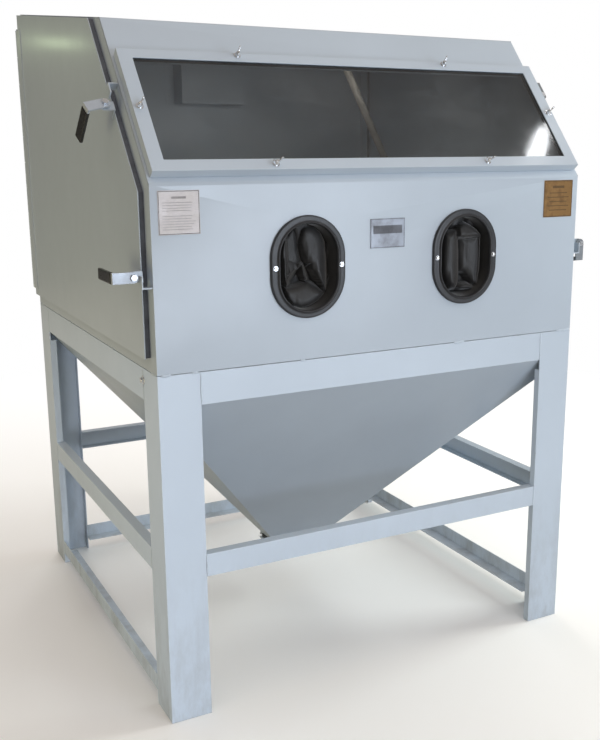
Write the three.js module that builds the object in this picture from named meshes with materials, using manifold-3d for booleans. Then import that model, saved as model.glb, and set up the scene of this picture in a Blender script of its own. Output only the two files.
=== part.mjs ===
// Free-standing suction blast cabinet on a welded stand.
// Millimetres, +Z up, +X to the operator's right, -Y towards the operator. The pieces are
// drawn about the centre of the stand's footprint; the whole is then moved to put the origin
// on the floor under the front flange of the front left leg.
import * as THREE from 'three';
import { mergeVertices } from 'three/addons/utils/BufferGeometryUtils.js';
import Module from 'manifold-3d';

const wasm = await Module();
wasm.setup();

// ---------------------------------------------------------------- main dimensions
const WIDTH = 1219;             // over the side sheets
const DEPTH = 1206;             // over the front and rear sheets
const HALF_W = WIDTH / 2;
const FRONT = -DEPTH / 2;
const BACK = DEPTH / 2;
const SHEET = 2.5;              // cabinet sheet thickness
const STAND_SHEET = 3;
const GAP = 0.3;                // clearance between butting pieces
const LAP = 0.2;                // overlap of pieces joined into one solid
const STAND_TOP = 883;
const SHELL_BOTTOM = STAND_TOP + 1.5;   // above the weld gap
const BEND_Z = 1313;            // where the front sheet leans back
const SLOPE_DEPTH = 318.7;
const SLOPE_HEIGHT = 378;
const ROOF_RISE = 97;           // from the leaning face to the rear
const LEG_FRONT = 104;          // leg flange across the front
const RAIL_FACE = 79;           // top rail face height
const PORT_X = { left: -224, right: 234 };      // arm port centres
const PORT_Z = 1111;
const SIDES = { left: -1, right: 1 };           // sign of x

// directions along and out of the leaning face, in (y, z)
const SLOPE_LENGTH = Math.hypot(SLOPE_DEPTH, SLOPE_HEIGHT);
const UP_SLOPE = [SLOPE_DEPTH / SLOPE_LENGTH, SLOPE_HEIGHT / SLOPE_LENGTH];
const OUT_SLOPE = [-UP_SLOPE[1], UP_SLOPE[0]];
const ROOF_PITCH = ROOF_RISE / (DEPTH - SLOPE_DEPTH);
const ROOF_DIR = [1, ROOF_PITCH];
const roofZ = (y) => BEND_Z + SLOPE_HEIGHT + (y - FRONT - SLOPE_DEPTH) * ROOF_PITCH;
const onSlope = (up, out) => [
  FRONT + UP_SLOPE[0] * up + OUT_SLOPE[0] * out,
  BEND_Z + UP_SLOPE[1] * up + OUT_SLOPE[1] * out,
];
// the bend's corner, this far inside the front sheet's outer face
const insideBend = (depth) => [
  FRONT + depth,
  BEND_Z - Math.tan(Math.atan2(...UP_SLOPE) / 2) * depth,
];

// ---------------------------------------------------------------- solids
function solid(geo) {
  geo.deleteAttribute('normal');
  geo.deleteAttribute('uv');
  const merged = mergeVertices(geo, 1e-4);
  return new wasm.Manifold(new wasm.Mesh({
    numProp: 3,
    vertProperties: new Float32Array(merged.attributes.position.array),
    triVerts: new Uint32Array(merged.index.array),
  }));
}

function geometry(body) {
  const mesh = body.getMesh();
  const geo = new THREE.BufferGeometry();
  geo.setAttribute('position', new THREE.Float32BufferAttribute(mesh.vertProperties, 3));
  geo.setIndex(new THREE.Uint32BufferAttribute(mesh.triVerts, 1));
  return geo;
}

const basis = (...axes) => new THREE.Matrix4()
  .makeBasis(...axes.map((axis) => new THREE.Vector3(...axis)));

function shapeOf(outline, holes = []) {
  const points = outline.map((point) => new THREE.Vector2(...point));
  // holes are only turned the right way in a counter-clockwise outline
  if (THREE.ShapeUtils.isClockWise(points)) points.reverse();
  const shape = new THREE.Shape(points);
  for (const hole of holes) {
    shape.holes.push(new THREE.Path(hole.map((point) => new THREE.Vector2(...point))));
  }
  return shape;
}

// A span is [from, to] along one axis.
function prism(outline, [from, to], frame, holes = []) {
  const options = { depth: to - from, bevelEnabled: false, steps: 1 };
  const geo = new THREE.ExtrudeGeometry(shapeOf(outline, holes), options);
  return solid(geo.translate(0, 0, from).applyMatrix4(frame));
}

// outlines in (y, z) run along x, in (x, z) run along y, in (x, y) run along z
const swap = (outline) => outline.map(([first, second]) => [second, first]);
const alongX = (outline, span, holes) =>
  prism(outline, span, basis([0, 1, 0], [0, 0, 1], [1, 0, 0]), holes);
const alongY = (outline, span, holes = []) =>
  prism(swap(outline), span, basis([0, 0, 1], [1, 0, 0], [0, 1, 0]), holes.map(swap));
const alongZ = (outline, span, holes) => prism(outline, span, new THREE.Matrix4(), holes);
// outline in (x, distance up the slope) run outwards from the leaning face
const offSlope = (outline, span, holes) =>
  prism(outline, span, basis([1, 0, 0], [0, ...UP_SLOPE], [0, ...OUT_SLOPE]), holes)
    .translate([0, FRONT, BEND_Z]);

// box from its x, y and z spans
const box = (...spans) => solid(
  new THREE.BoxGeometry(...spans.map(([from, to]) => to - from))
    .translate(...spans.map(([from, to]) => (from + to) / 2)),
);

const across = (half) => [-half, half];
const grow = (spans, by) => spans.map(([from, to]) => [from - by, to + by]);
const rect = ([left, right], [low, high]) =>
  [[left, low], [right, low], [right, high], [left, high]];

const arc = (x, y, radius, angle) => [x + radius * Math.cos(angle), y + radius * Math.sin(angle)];
const circle = (x, y, radius, segments = 24) =>
  Array.from({ length: segments }, (_, i) => arc(x, y, radius, 2 * Math.PI * i / segments));
const rodX = (y, z, radius, span, segments) => alongX(circle(y, z, radius, segments), span);
const rodY = (x, z, radius, span, segments) => alongY(circle(x, z, radius, segments), span);
const rodZ = (x, y, radius, span, segments) => alongZ(circle(x, y, radius, segments), span);

// upright oval with straight sides
function oval(x, z, halfWidth, halfHeight, segments = 12) {
  const points = [];
  for (const [start, end] of [[0, 1], [Math.PI, -1]]) {
    for (let i = 0; i <= segments; i++) {
      const centreZ = z + end * (halfHeight - halfWidth);
      points.push(arc(x, centreZ, halfWidth, start + Math.PI * i / segments));
    }
  }
  return points;
}

// where the line through p along d crosses the line through q along e
function meet(p, d, q, e) {
  const across2 = e[0] * d[1] - d[0] * e[1];
  const travel = (e[0] * (q[1] - p[1]) - (q[0] - p[0]) * e[1]) / across2;
  return [p[0] + d[0] * travel, p[1] + d[1] * travel];
}

// clockwise convex outline moved inwards
function inset(outline, distance) {
  const edges = outline.map(([x, y], i) => {
    const [nextX, nextY] = outline[(i + 1) % outline.length];
    const length = Math.hypot(nextX - x, nextY - y);
    const along = [(nextX - x) / length, (nextY - y) / length];
    return [[x + along[1] * distance, y - along[0] * distance], along];
  });
  return edges.map((edge, i) => meet(...edges.at(i - 1), ...edge));
}

// closed body through rings of equal length, with convex end caps
function loft(rings) {
  const count = rings[0].length;
  const last = (rings.length - 1) * count;
  const index = [];
  for (let start = 0; start < last; start += count) {
    for (let j = 0; j < count; j++) {
      const a = start + j;
      const b = start + (j + 1) % count;
      index.push(a, b, b + count, a, b + count, a + count);
    }
  }
  for (let j = 1; j < count - 1; j++) index.push(0, j + 1, j, last, last + j, last + j + 1);
  const geo = new THREE.BufferGeometry();
  geo.setAttribute('position', new THREE.Float32BufferAttribute(rings.flat(2), 3));
  geo.setIndex(index);
  return solid(geo);
}

// ---------------------------------------------------------------- group and materials
const root = new THREE.Group();
root.name = 'blast_cabinet';
const cabinet = new THREE.Group();
cabinet.position.set(HALF_W - LEG_FRONT / 2, -FRONT - STAND_SHEET / 2, 0);
root.add(cabinet);

const MATERIALS = {
  paint: { color: 0xb4c2d0, roughness: 0.42, metalness: 0.15 },
  zinc: { color: 0xc9ced4, roughness: 0.35, metalness: 0.9 },
  rubber: { color: 0x26282b, roughness: 0.85, metalness: 0 },
  vinyl: { color: 0x16171a, roughness: 0.5, metalness: 0 },
  glass: { color: 0x9fb0b4, roughness: 0.08, metalness: 0, transparent: true, opacity: 0.4 },
  plate: { color: 0xb9bcc0, roughness: 0.35, metalness: 0.8 },
  copper: { color: 0x9a7240, roughness: 0.4, metalness: 0.7 },
  label: { color: 0xd8d0cf, roughness: 0.6, metalness: 0 },
  hose: { color: 0x3a3a3a, roughness: 0.7, metalness: 0 },
  white: { color: 0xe6e6e2, roughness: 0.5, metalness: 0 },
  cast: { color: 0x8f949a, roughness: 0.5, metalness: 0.7 },
  grate: { color: 0x8a8f92, roughness: 0.6, metalness: 0.8 },
};

function add(name, body, finish) {
  const material = new THREE.MeshStandardMaterial(MATERIALS[finish]);
  const mesh = new THREE.Mesh(geometry(body), material);
  mesh.name = name;
  cabinet.add(mesh);
}

// ---------------------------------------------------------------- stand
const LEG_SIDE = 107;           // leg flange along the side
const LEG_LIP = 20;             // return lip on the leg flanges
const LIP_TOP = 775;            // the lips stop below the hopper's flare
const RAIL_FLANGE = 28;
const MID_TOP = 428;
const MID_BOTTOM = MID_TOP - 58;
const LOW_BOTTOM = 36;
const LOW_FACE = 43;

// formed angle with return lips
function leg(signX, signY) {
  const t = STAND_SHEET;
  const place = (points) => points.map(([x, y]) => [signX * (HALF_W - x), signY * (BACK - y)]);
  const angle = place([
    [0, 0], [LEG_FRONT, 0], [LEG_FRONT, t], [t, t], [t, LEG_SIDE], [0, LEG_SIDE],
  ]);
  const lipped = place([
    [0, 0], [LEG_FRONT, 0], [LEG_FRONT, LEG_LIP], [LEG_FRONT - t, LEG_LIP], [LEG_FRONT - t, t],
    [t, t], [t, LEG_SIDE - t], [LEG_LIP, LEG_SIDE - t], [LEG_LIP, LEG_SIDE], [0, LEG_SIDE],
  ]);
  return alongZ(angle, [0, STAND_TOP]).add(alongZ(lipped, [0, LIP_TOP]));
}

// rail sections as (inset from the outer face, height)
const RAIL_SECTIONS = {
  top: [
    [0, STAND_TOP - RAIL_FACE], [STAND_SHEET, STAND_TOP - RAIL_FACE],
    [STAND_SHEET, STAND_TOP - STAND_SHEET], [RAIL_FLANGE, STAND_TOP - STAND_SHEET],
    [RAIL_FLANGE, STAND_TOP], [0, STAND_TOP],
  ],
  mid: [
    [0, MID_BOTTOM], [RAIL_FLANGE, MID_BOTTOM],
    [RAIL_FLANGE, MID_BOTTOM + STAND_SHEET], [STAND_SHEET, MID_BOTTOM + STAND_SHEET],
    [STAND_SHEET, MID_TOP - STAND_SHEET], [RAIL_FLANGE, MID_TOP - STAND_SHEET],
    [RAIL_FLANGE, MID_TOP], [0, MID_TOP],
  ],
  low: [
    [0, LOW_BOTTOM], [LOW_FACE, LOW_BOTTOM],
    [LOW_FACE, LOW_BOTTOM + STAND_SHEET], [STAND_SHEET, LOW_BOTTOM + STAND_SHEET],
    [STAND_SHEET, LOW_BOTTOM + LOW_FACE], [0, LOW_BOTTOM + LOW_FACE],
  ],
};

function rail(level, side) {
  const place = (face, inward) =>
    RAIL_SECTIONS[level].map(([depth, z]) => [face + inward * depth, z]);
  if (side === 'front' || side === 'rear') {
    const section = side === 'front' ? place(FRONT, 1) : place(BACK, -1);
    return alongX(section, across(HALF_W - LEG_FRONT - GAP));
  }
  const sign = SIDES[side];
  return alongY(place(sign * HALF_W, -sign), across(BACK - LEG_SIDE - GAP));
}

function addStand() {
  for (const [end, signY] of [['front', -1], ['rear', 1]]) {
    for (const [side, signX] of Object.entries(SIDES)) {
      add(`leg_${end}_${side}`, leg(signX, signY), 'paint');
    }
  }
  for (const side of ['front', 'rear', 'left', 'right']) {
    for (const level of ['top', 'mid', 'low']) {
      // the front has no low rail
      if (level === 'low' && side === 'front') continue;
      add(`${level}_rail_${side}`, rail(level, side), 'paint');
    }
  }
}

// ---------------------------------------------------------------- hopper and clean-out
const OUTLET = 62;              // half width of the outlet
const OUTLET_Z = 156;
const CLEANOUT_TOP = OUTLET_Z - 12;             // top of the clean-out door
const CLEANOUT_HINGE = [88, 146];               // hinge axis (y, z)
const SLIDE_BOLT = [-84, 151];                  // slide bolt axis (y, z)
const cleanoutBore = () => rodX(...CLEANOUT_HINGE, 3.4, across(65));

function hopper() {
  const wall = 3.2;
  const overrun = 5;            // the cavity is cut past both ends
  const clear = STAND_SHEET + 0.4;
  const top = STAND_TOP - clear;
  const flareTop = STAND_TOP - RAIL_FACE;
  const halfX = HALF_W - clear;
  const halfY = BACK - clear;
  const growX = (halfX - OUTLET) / (flareTop - OUTLET_Z);
  const growY = (halfY - OUTLET) / (flareTop - OUTLET_Z);
  const ring = (x, y, z) => [[-x, -y, z], [x, -y, z], [x, y, z], [-x, y, z]];
  const outer = loft([
    ring(OUTLET, OUTLET, OUTLET_Z), ring(halfX, halfY, flareTop), ring(halfX, halfY, top),
  ]);
  const throat = OUTLET - wall;
  const inner = loft([
    ring(throat - overrun * growX, throat - overrun * growY, OUTLET_Z - overrun),
    ring(halfX - wall, halfY - wall, flareTop),
    ring(halfX - wall, halfY - wall, top + overrun),
  ]);

  // fixed hinge lugs behind the outlet
  const eye = 7;
  const [hingeY, hingeZ] = CLEANOUT_HINGE;
  const lugOutline = [
    [OUTLET + 3, OUTLET_Z + 1], [OUTLET + 19, OUTLET_Z + 1], [OUTLET + 19, hingeZ],
    [hingeY + eye, hingeZ], [hingeY + eye, OUTLET_Z + 18], [OUTLET + 10, OUTLET_Z + 18],
  ];
  let body = outer;
  for (const x of across(48)) {
    const span = [x - 8, x + 8];
    body = body.add(alongX(lugOutline, span)).add(rodX(hingeY, hingeZ, eye, span));
  }
  // keeper for the slide bolt in front of the outlet
  const keeperOutline = [
    [-OUTLET - 8.5, OUTLET_Z + 12], [-OUTLET - 10, OUTLET_Z - 9.5],
    [-OUTLET - 32, OUTLET_Z - 9.5], [-OUTLET - 32, OUTLET_Z + 24], [-OUTLET - 18, OUTLET_Z + 24],
  ];
  return body.add(alongX(keeperOutline, [-58, -40]))
    .subtract(inner)
    .subtract(cleanoutBore())
    .subtract(rodX(...SLIDE_BOLT, 4.6, [-70, -33]));
}

function cleanoutGasket() {
  const outer = across(OUTLET + 2);
  const inner = across(OUTLET - 12);
  const span = [CLEANOUT_TOP + GAP, OUTLET_Z - GAP];
  return alongZ(rect(outer, outer), span, [rect(inner, inner)]);
}

// plate with its middle knuckle and the two bolt guides
function cleanoutDoor() {
  const half = OUTLET + 8;
  const [hingeY, hingeZ] = CLEANOUT_HINGE;
  const outline = [
    [-half, -half], [-68, -half], [-68, -half - 26], [52, -half - 26], [52, -half],
    [half, -half], [half, half + 2], [38, half + 2], [38, hingeY], [-38, hingeY],
    [-38, half + 2], [-half, half + 2],
  ];
  let door = alongZ(outline, [CLEANOUT_TOP - 4, CLEANOUT_TOP])
    .add(rodX(hingeY, hingeZ, 7, across(38)));
  const guideY = [SLIDE_BOLT[0] - 8, SLIDE_BOLT[0] + 8];
  for (const x of [-20, 34]) {
    door = door.add(box([x, x + 10], guideY, [CLEANOUT_TOP - 0.5, OUTLET_Z + 2]));
  }
  return door.subtract(cleanoutBore()).subtract(rodX(...SLIDE_BOLT, 4.6, [-22, 52]));
}

// rod with a turned-up handle between its guides
function cleanoutBolt() {
  const [y, z] = SLIDE_BOLT;
  return rodX(y, z, 4, [-32, 72]).add(rodZ(28, y, 4, [z, z + 26]));
}

function addHopper() {
  add('hopper', hopper(), 'paint');
  add('cleanout_gasket', cleanoutGasket(), 'rubber');
  add('cleanout_door', cleanoutDoor(), 'paint');
  add('cleanout_hinge_pin', rodX(...CLEANOUT_HINGE, 3, across(60)), 'zinc');
  add('cleanout_bolt', cleanoutBolt(), 'zinc');
}

// ---------------------------------------------------------------- cabinet shell
const HEM_END = FRONT + SLOPE_DEPTH + 12;       // rear edge of the front sheet's roof hem
const ARM_RING = { halfWidth: 100, halfHeight: 124, boreWidth: 76, boreHeight: 104, depth: 9 };
const WINDOW_CUTOUT = [across(578), [40, 356]]; // x and up-slope spans
const EXHAUST = { x: 0, z: 1640, radius: 75, segments: 32 };

// upright front, leaning window face and a narrow hem on the roof
function frontPanel() {
  const topY = FRONT + SLOPE_DEPTH;
  const roofLength = Math.hypot(...ROOF_DIR);
  const underRoof = (y) =>
    [y + SHEET * ROOF_PITCH / roofLength, roofZ(y) - SHEET / roofLength];
  const profile = [
    [FRONT, SHELL_BOTTOM], [FRONT, BEND_Z], [topY, roofZ(topY)],
    [HEM_END, roofZ(HEM_END)], underRoof(HEM_END),
    meet(onSlope(0, -SHEET), UP_SLOPE, underRoof(topY), ROOF_DIR),
    insideBend(SHEET), [FRONT + SHEET, SHELL_BOTTOM],
  ];
  let panel = alongX(profile, across(HALF_W));
  const { boreWidth, boreHeight } = ARM_RING;
  for (const x of Object.values(PORT_X)) {
    const opening = oval(x, PORT_Z, boreWidth + 2.5, boreHeight + 2);
    panel = panel.subtract(alongY(opening, [FRONT - 5, FRONT + 10]));
  }
  return panel.subtract(offSlope(rect(...WINDOW_CUTOUT), across(10)));
}

function roofPanel() {
  const y = HEM_END + GAP;
  const profile = [
    [y, roofZ(y)], [BACK, roofZ(BACK)], [BACK, roofZ(BACK) - SHEET], [y, roofZ(y) - SHEET],
  ];
  return alongX(profile, across(HALF_W));
}

const exhaustCircle = (radius) => circle(EXHAUST.x, EXHAUST.z, radius, EXHAUST.segments);

function rearPanel() {
  const outline = rect(across(HALF_W), [SHELL_BOTTOM, roofZ(BACK) - SHEET - 2 * GAP]);
  return alongY(outline, [BACK - SHEET, BACK], [exhaustCircle(EXHAUST.radius + 2)]);
}

function exhaustCollar() {
  const bore = [exhaustCircle(EXHAUST.radius - SHEET)];
  const flange = alongY(exhaustCircle(95), [BACK + GAP, BACK + GAP + SHEET], bore);
  return flange.add(alongY(exhaustCircle(EXHAUST.radius), [BACK - 30, BACK + 50], bore));
}

function addShell() {
  add('front_panel', frontPanel(), 'paint');
  add('roof_panel', roofPanel(), 'paint');
  add('rear_panel', rearPanel(), 'paint');
  add('exhaust_collar', exhaustCollar(), 'paint');
}

// ---------------------------------------------------------------- latches
// Latch parts are drawn with x outboard of the side sheet, y rearwards into the face and
// z up the face, from the side sheet's front edge level with the pivot.
const DOOR_INNER = 12;          // door's inner face, outboard of the side sheet
const DOOR_LAP = DOOR_INNER + SHEET - LAP;      // start of parts joined to the door
const PIVOT = 38;               // latch pivot outboard of the side sheet
const LEVER_HALF = 12.5;        // half width of lever and lug
const LEVER_BAR = [81.5, 86];   // thickness span of the turned bar
const BAR_HALF = 9;
const BOLT_RADIUS = 4;

// pivot: height on the upright face, or distance up the slope; turn: degrees about the bolt;
// keeperLift: extra height of the keeper
const LATCHES = [
  { side: 'left', level: 'lower', pivot: 1110, turn: 0, keeperLift: 0 },
  { side: 'left', level: 'upper', pivot: 248, turn: 15, keeperLift: 21 },
  { side: 'right', level: 'lower', pivot: 1124, turn: 90, keeperLift: 0 },
  { side: 'right', level: 'upper', pivot: 305, turn: -90, keeperLift: 0 },
];

function placeLatch(part, { side, level, pivot }) {
  const sign = SIDES[side];
  const upper = level === 'upper';
  const [upY, upZ] = upper ? UP_SLOPE : [0, 1];
  const [outY, outZ] = upper ? OUT_SLOPE : [-1, 0];
  const [y, z] = upper ? onSlope(pivot, 0) : [FRONT, pivot];
  const frame = basis([sign, 0, 0], [0, -outY, -outZ], [0, upY, upZ])
    .setPosition(sign * HALF_W, y, z);
  const placed = geometry(part).applyMatrix4(frame);
  // the left side is a mirror image, so its triangles are turned back outwards
  if (sign < 0) {
    const index = placed.index.array;
    for (let i = 0; i < index.length; i += 3) {
      [index[i + 1], index[i + 2]] = [index[i + 2], index[i + 1]];
    }
  }
  return solid(placed);
}

const pivotBore = () => rodY(PIVOT, 0, BOLT_RADIUS + 0.4, [10, 40]);

function keeper({ level, keeperLift }) {
  const [armZ, endZ] = level === 'upper' ? [[23, 26], [-3, 26]] : [[-26, -23], [-26, 3]];
  return box([-1, 24], [4, 26], armZ).add(box([21, 24], [4, 26], endZ))
    .translate([0, 0, keeperLift]);
}

// door lug: base on the door sheet and a round-ended ear across it
function lug() {
  const round = circle(PIVOT, 0, LEVER_HALF);
  const ear = [
    [DOOR_LAP, -LEVER_HALF], ...round.slice(18), ...round.slice(0, 7), [DOOR_LAP, LEVER_HALF],
  ];
  return box([DOOR_LAP, 17.5], [28, 62], across(LEVER_HALF))
    .add(alongY(ear, [28, 31]))
    .subtract(pivotBore());
}

// flat bar turned rearwards at its outer end
function lever() {
  const end = LEVER_BAR[1];
  const outline = [
    ...circle(PIVOT, 0, LEVER_HALF).slice(6, 19), [end, -LEVER_HALF], [end, LEVER_HALF],
  ];
  return alongY(outline, [18, 22.5])
    .add(box(LEVER_BAR, [22, 118], across(BAR_HALF)))
    .add(box(LEVER_BAR, [18, 30], across(LEVER_HALF)))
    .subtract(pivotBore());
}

function grip() {
  const outline = [
    [79.3, -11], [81, -13.5], [86.5, -13.5], [88.2, -11],
    [88.2, 11], [86.5, 13.5], [81, 13.5], [79.3, 11],
  ];
  const [slotX, slotZ] = grow([LEVER_BAR, across(BAR_HALF)], GAP);
  return alongY(outline, [31, 128]).subtract(box(slotX, [25, 118.5], slotZ));
}

// bolt with head, spacer collar and nut as one made-up fastener
function latchBolt() {
  const hexagon = circle(PIVOT, 0, 7.5, 6);
  return alongY(hexagon, [12, 17.7])
    .add(rodY(PIVOT, 0, BOLT_RADIUS, [12, 40]))
    .add(rodY(PIVOT, 0, 7, [22.9, 27.7]))
    .add(alongY(hexagon, [31.3, 37]));
}

function addLatch(latch) {
  const id = `${latch.side}_${latch.level}`;
  const turned = (part) => part
    .translate([-PIVOT, 0, 0]).rotate([0, latch.turn, 0]).translate([PIVOT, 0, 0]);
  add(`latch_lever_${id}`, placeLatch(turned(lever()), latch), 'zinc');
  add(`latch_grip_${id}`, placeLatch(turned(grip()), latch), 'vinyl');
  add(`latch_bolt_${id}`, placeLatch(latchBolt(), latch), 'zinc');
}

// ---------------------------------------------------------------- sides and doors
const DOOR_FRONT = FRONT + 40;
const DOOR_BACK = BACK - 16;
const DOOR_BOTTOM = 917;
const DOOR_ROOF_DROP = 3;       // door edge below the roof line
const GASKET = 11.4;            // compressed door gasket
const HINGE = { out: 13.4, y: BACK - 2.2, barrel: 5, pin: 2.2, segments: 16 };
const KNUCKLES = 10;
const KNUCKLE_PITCH = 80;
const HINGE_BOTTOM = DOOR_BOTTOM + 22;
const HINGE_SPAN = [HINGE_BOTTOM, HINGE_BOTTOM + KNUCKLE_PITCH * KNUCKLES];
const LEAF_Y = [BACK + GAP, BACK + GAP + SHEET];        // fixed leaf on the rear panel

// outlines in (y, z), clockwise from the lower front corner
const SLOPE_EDGE = onSlope(0, -41);
const DOOR_OUTLINE = [
  [DOOR_FRONT, DOOR_BOTTOM],
  meet([DOOR_FRONT, 0], [0, 1], SLOPE_EDGE, UP_SLOPE),
  meet(SLOPE_EDGE, UP_SLOPE, [0, roofZ(0) - DOOR_ROOF_DROP], ROOF_DIR),
  [DOOR_BACK, roofZ(DOOR_BACK) - DOOR_ROOF_DROP],
  [DOOR_BACK, DOOR_BOTTOM],
];
const SIDE_INSET = SHEET + GAP;
const SIDE_BACK = BACK - SIDE_INSET;
const SIDE_ROOF_DROP = SHEET + 0.4;
const SIDE_OUTLINE = [
  [FRONT + SIDE_INSET, SHELL_BOTTOM],
  insideBend(SIDE_INSET),
  meet(onSlope(0, -SIDE_INSET), UP_SLOPE, [0, roofZ(0) - SIDE_ROOF_DROP], ROOF_DIR),
  [SIDE_BACK, roofZ(SIDE_BACK) - SIDE_ROOF_DROP],
  [SIDE_BACK, SHELL_BOTTOM],
];

// x span between two distances outboard of the side sheet's outer face
const outboard = (side, near, far) =>
  (side === 'left' ? [-HALF_W - far, -HALF_W - near] : [HALF_W + near, HALF_W + far]);
const hingeRod = (side, radius, overrun) => rodZ(
  SIDES[side] * (HALF_W + HINGE.out), HINGE.y, radius,
  [HINGE_SPAN[0] - overrun, HINGE_SPAN[1] + overrun], HINGE.segments,
);
const latchesOn = (side) => LATCHES.filter((latch) => latch.side === side);

// side sheet with the door opening and its latch keepers
function sideFrame(side) {
  let frame = alongX(SIDE_OUTLINE, outboard(side, -SHEET, 0), [inset(DOOR_OUTLINE, 34)]);
  for (const latch of latchesOn(side)) frame = frame.add(placeLatch(keeper(latch), latch));
  return frame;
}

function doorGasket(side) {
  const span = outboard(side, GAP, GAP + GASKET);
  return alongX(inset(DOOR_OUTLINE, 2), span, [inset(DOOR_OUTLINE, 30)]);
}

// every second knuckle from the first, each with a tab to its leaf, bored for the pin
function withKnuckles(body, side, first, tabX, tabY) {
  const x = SIDES[side] * (HALF_W + HINGE.out);
  for (let k = first; k < KNUCKLES; k += 2) {
    const z = HINGE_BOTTOM + KNUCKLE_PITCH * k;
    const topGap = k < KNUCKLES - 1 ? 0.5 : 0;
    const span = [z + (k ? 0.5 : 0), z + KNUCKLE_PITCH - topGap];
    body = body.add(rodZ(x, HINGE.y, HINGE.barrel, span, HINGE.segments))
      .add(box(tabX, tabY, span));
  }
  return body.subtract(hingeRod(side, HINGE.pin + 0.4, 5));
}

// door sheet with its lugs, hinge leaf and knuckles
function door(side) {
  let body = alongX(DOOR_OUTLINE, outboard(side, DOOR_INNER, DOOR_INNER + SHEET));
  for (const latch of latchesOn(side)) body = body.add(placeLatch(lug(), latch));
  const leafX = outboard(side, DOOR_LAP, DOOR_LAP + SHEET);
  body = body.add(box(leafX, [BACK - 56, HINGE.y - HINGE.barrel - 0.6], HINGE_SPAN));
  return withKnuckles(body, side, 1, leafX, [BACK - 30, HINGE.y]);
}

function hingeLeaf(side) {
  const leafX = outboard(side, -45, HINGE.out - HINGE.barrel - 0.8);
  const tabX = outboard(side, -10, HINGE.out);
  return withKnuckles(box(leafX, LEAF_Y, HINGE_SPAN), side, 0, tabX, LEAF_Y);
}

function addSide(side) {
  add(`side_frame_${side}`, sideFrame(side), 'paint');
  add(`door_gasket_${side}`, doorGasket(side), 'rubber');
  add(`door_${side}`, door(side), 'paint');
  add(`hinge_leaf_${side}`, hingeLeaf(side), 'paint');
  add(`hinge_pin_${side}`, hingeRod(side, HINGE.pin, 4), 'zinc');
}

// ---------------------------------------------------------------- window
// x and up-slope spans
const WINDOW_FRAME = [across(603), [18, 374]];
const WINDOW_SIGHT = [across(569), [49, 347]];

// angle-section frame, drawn flat and then leaned onto the slope
function windowFrame() {
  const lean = THREE.MathUtils.radToDeg(Math.atan2(SLOPE_HEIGHT, SLOPE_DEPTH));
  return box(...WINDOW_FRAME, [GAP, 24.7])
    .subtract(box(...grow(WINDOW_FRAME, -SHEET), [-2, 21.4]))
    .subtract(box(...WINDOW_SIGHT, [10, 30]))
    .rotate([lean, 0, 0])
    .translate([0, FRONT, BEND_Z]);
}

function addWindow() {
  const glass = rect(...grow(WINDOW_FRAME, -7));
  const gasket = rect(...grow(WINDOW_FRAME, -6));
  add('window_frame', windowFrame(), 'paint');
  add('window_glass', offSlope(glass, [15, 21]), 'glass');
  add('window_gasket', offSlope(gasket, [0.4, 14.7], [rect(...grow(WINDOW_CUTOUT, 1))]), 'rubber');
}

// ---------------------------------------------------------------- arm ports and gloves
// stations: y behind the front, z, tilt in degrees, half width, half height
const GLOVE = [
  [-4, 1111, 0, 70, 98], [40, 1111, 3, 71, 97], [100, 1096, 25, 68, 80],
  [158, 1052, 58, 64, 62], [184, 992, 78, 60, 50], [206, 948, 48, 55, 38],
  [262, 926, 5, 50, 26], [345, 922, 0, 58, 23], [405, 920, 0, 50, 20], [442, 919, 0, 34, 14],
];
const GLOVE_POCKET = [
  [-8, 1111, 0, 66, 94], [40, 1111, 3, 66, 92], [92, 1098, 18, 58, 68],
];

// squared-off oval ring at one station
function gloveRing(centreX, [y, z, tilt, halfWidth, halfHeight]) {
  const segments = 20;
  const squareness = 0.8;
  const lean = THREE.MathUtils.degToRad(tilt);
  const bulge = (value) => Math.sign(value) * Math.abs(value) ** squareness;
  return Array.from({ length: segments }, (_, i) => {
    const angle = 2 * Math.PI * i / segments;
    const rise = halfHeight * bulge(Math.sin(angle));
    return [
      centreX + halfWidth * bulge(Math.cos(angle)),
      FRONT + y + rise * Math.sin(lean),
      z + rise * Math.cos(lean),
    ];
  }).reverse();
}

function armRing(x) {
  const { halfWidth, halfHeight, boreWidth, boreHeight, depth } = ARM_RING;
  const bore = oval(x, PORT_Z, boreWidth, boreHeight, 16);
  const span = [FRONT - GAP - depth, FRONT - GAP];
  return alongY(oval(x, PORT_Z, halfWidth, halfHeight, 16), span, [bore]);
}

// cuff in the port, sleeve dropping to the grate, hand laid towards the rear
function glove(x) {
  const through = (stations) => loft(stations.map((station) => gloveRing(x, station)));
  return through(GLOVE).subtract(through(GLOVE_POCKET));
}

function addArmPorts() {
  for (const [side, x] of Object.entries(PORT_X)) {
    add(`arm_ring_${side}`, armRing(x), 'rubber');
    add(`glove_${side}`, glove(x), 'vinyl');
  }
}

// ---------------------------------------------------------------- inside the cabinet
const GUN_Z = STAND_TOP + 34;
const HOSE_PATH = [             // x, y, z
  [393.6, 0, GUN_Z], [412, 0, GUN_Z + 0.6], [441, 3, GUN_Z + 26], [452, 2, 1030],
  [430, -2, 1160], [394, -3, 1270], [354, -3, 1348], [284, -3, 1481],
  [215, -3, 1614], [176, -3, 1692],
];

// slotted work grate just above the top rails
function workGrate() {
  const halfX = 602;
  const halfY = 596;
  const bar = 8;
  const baysX = 20;
  const baysY = 3;
  const height = [STAND_TOP + 0.4, STAND_TOP + 12];
  let grate = box(across(halfX), [-halfY, -halfY + bar], height);
  for (let j = 1; j <= baysY; j++) {
    const y = -halfY + j * (2 * halfY - bar) / baysY;
    grate = grate.add(box(across(halfX), [y, y + bar], height));
  }
  for (let i = 0; i <= baysX; i++) {
    const x = -halfX + i * (2 * halfX - bar) / baysX;
    grate = grate.add(box([x, x + bar], across(halfY), height));
  }
  return grate;
}

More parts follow.
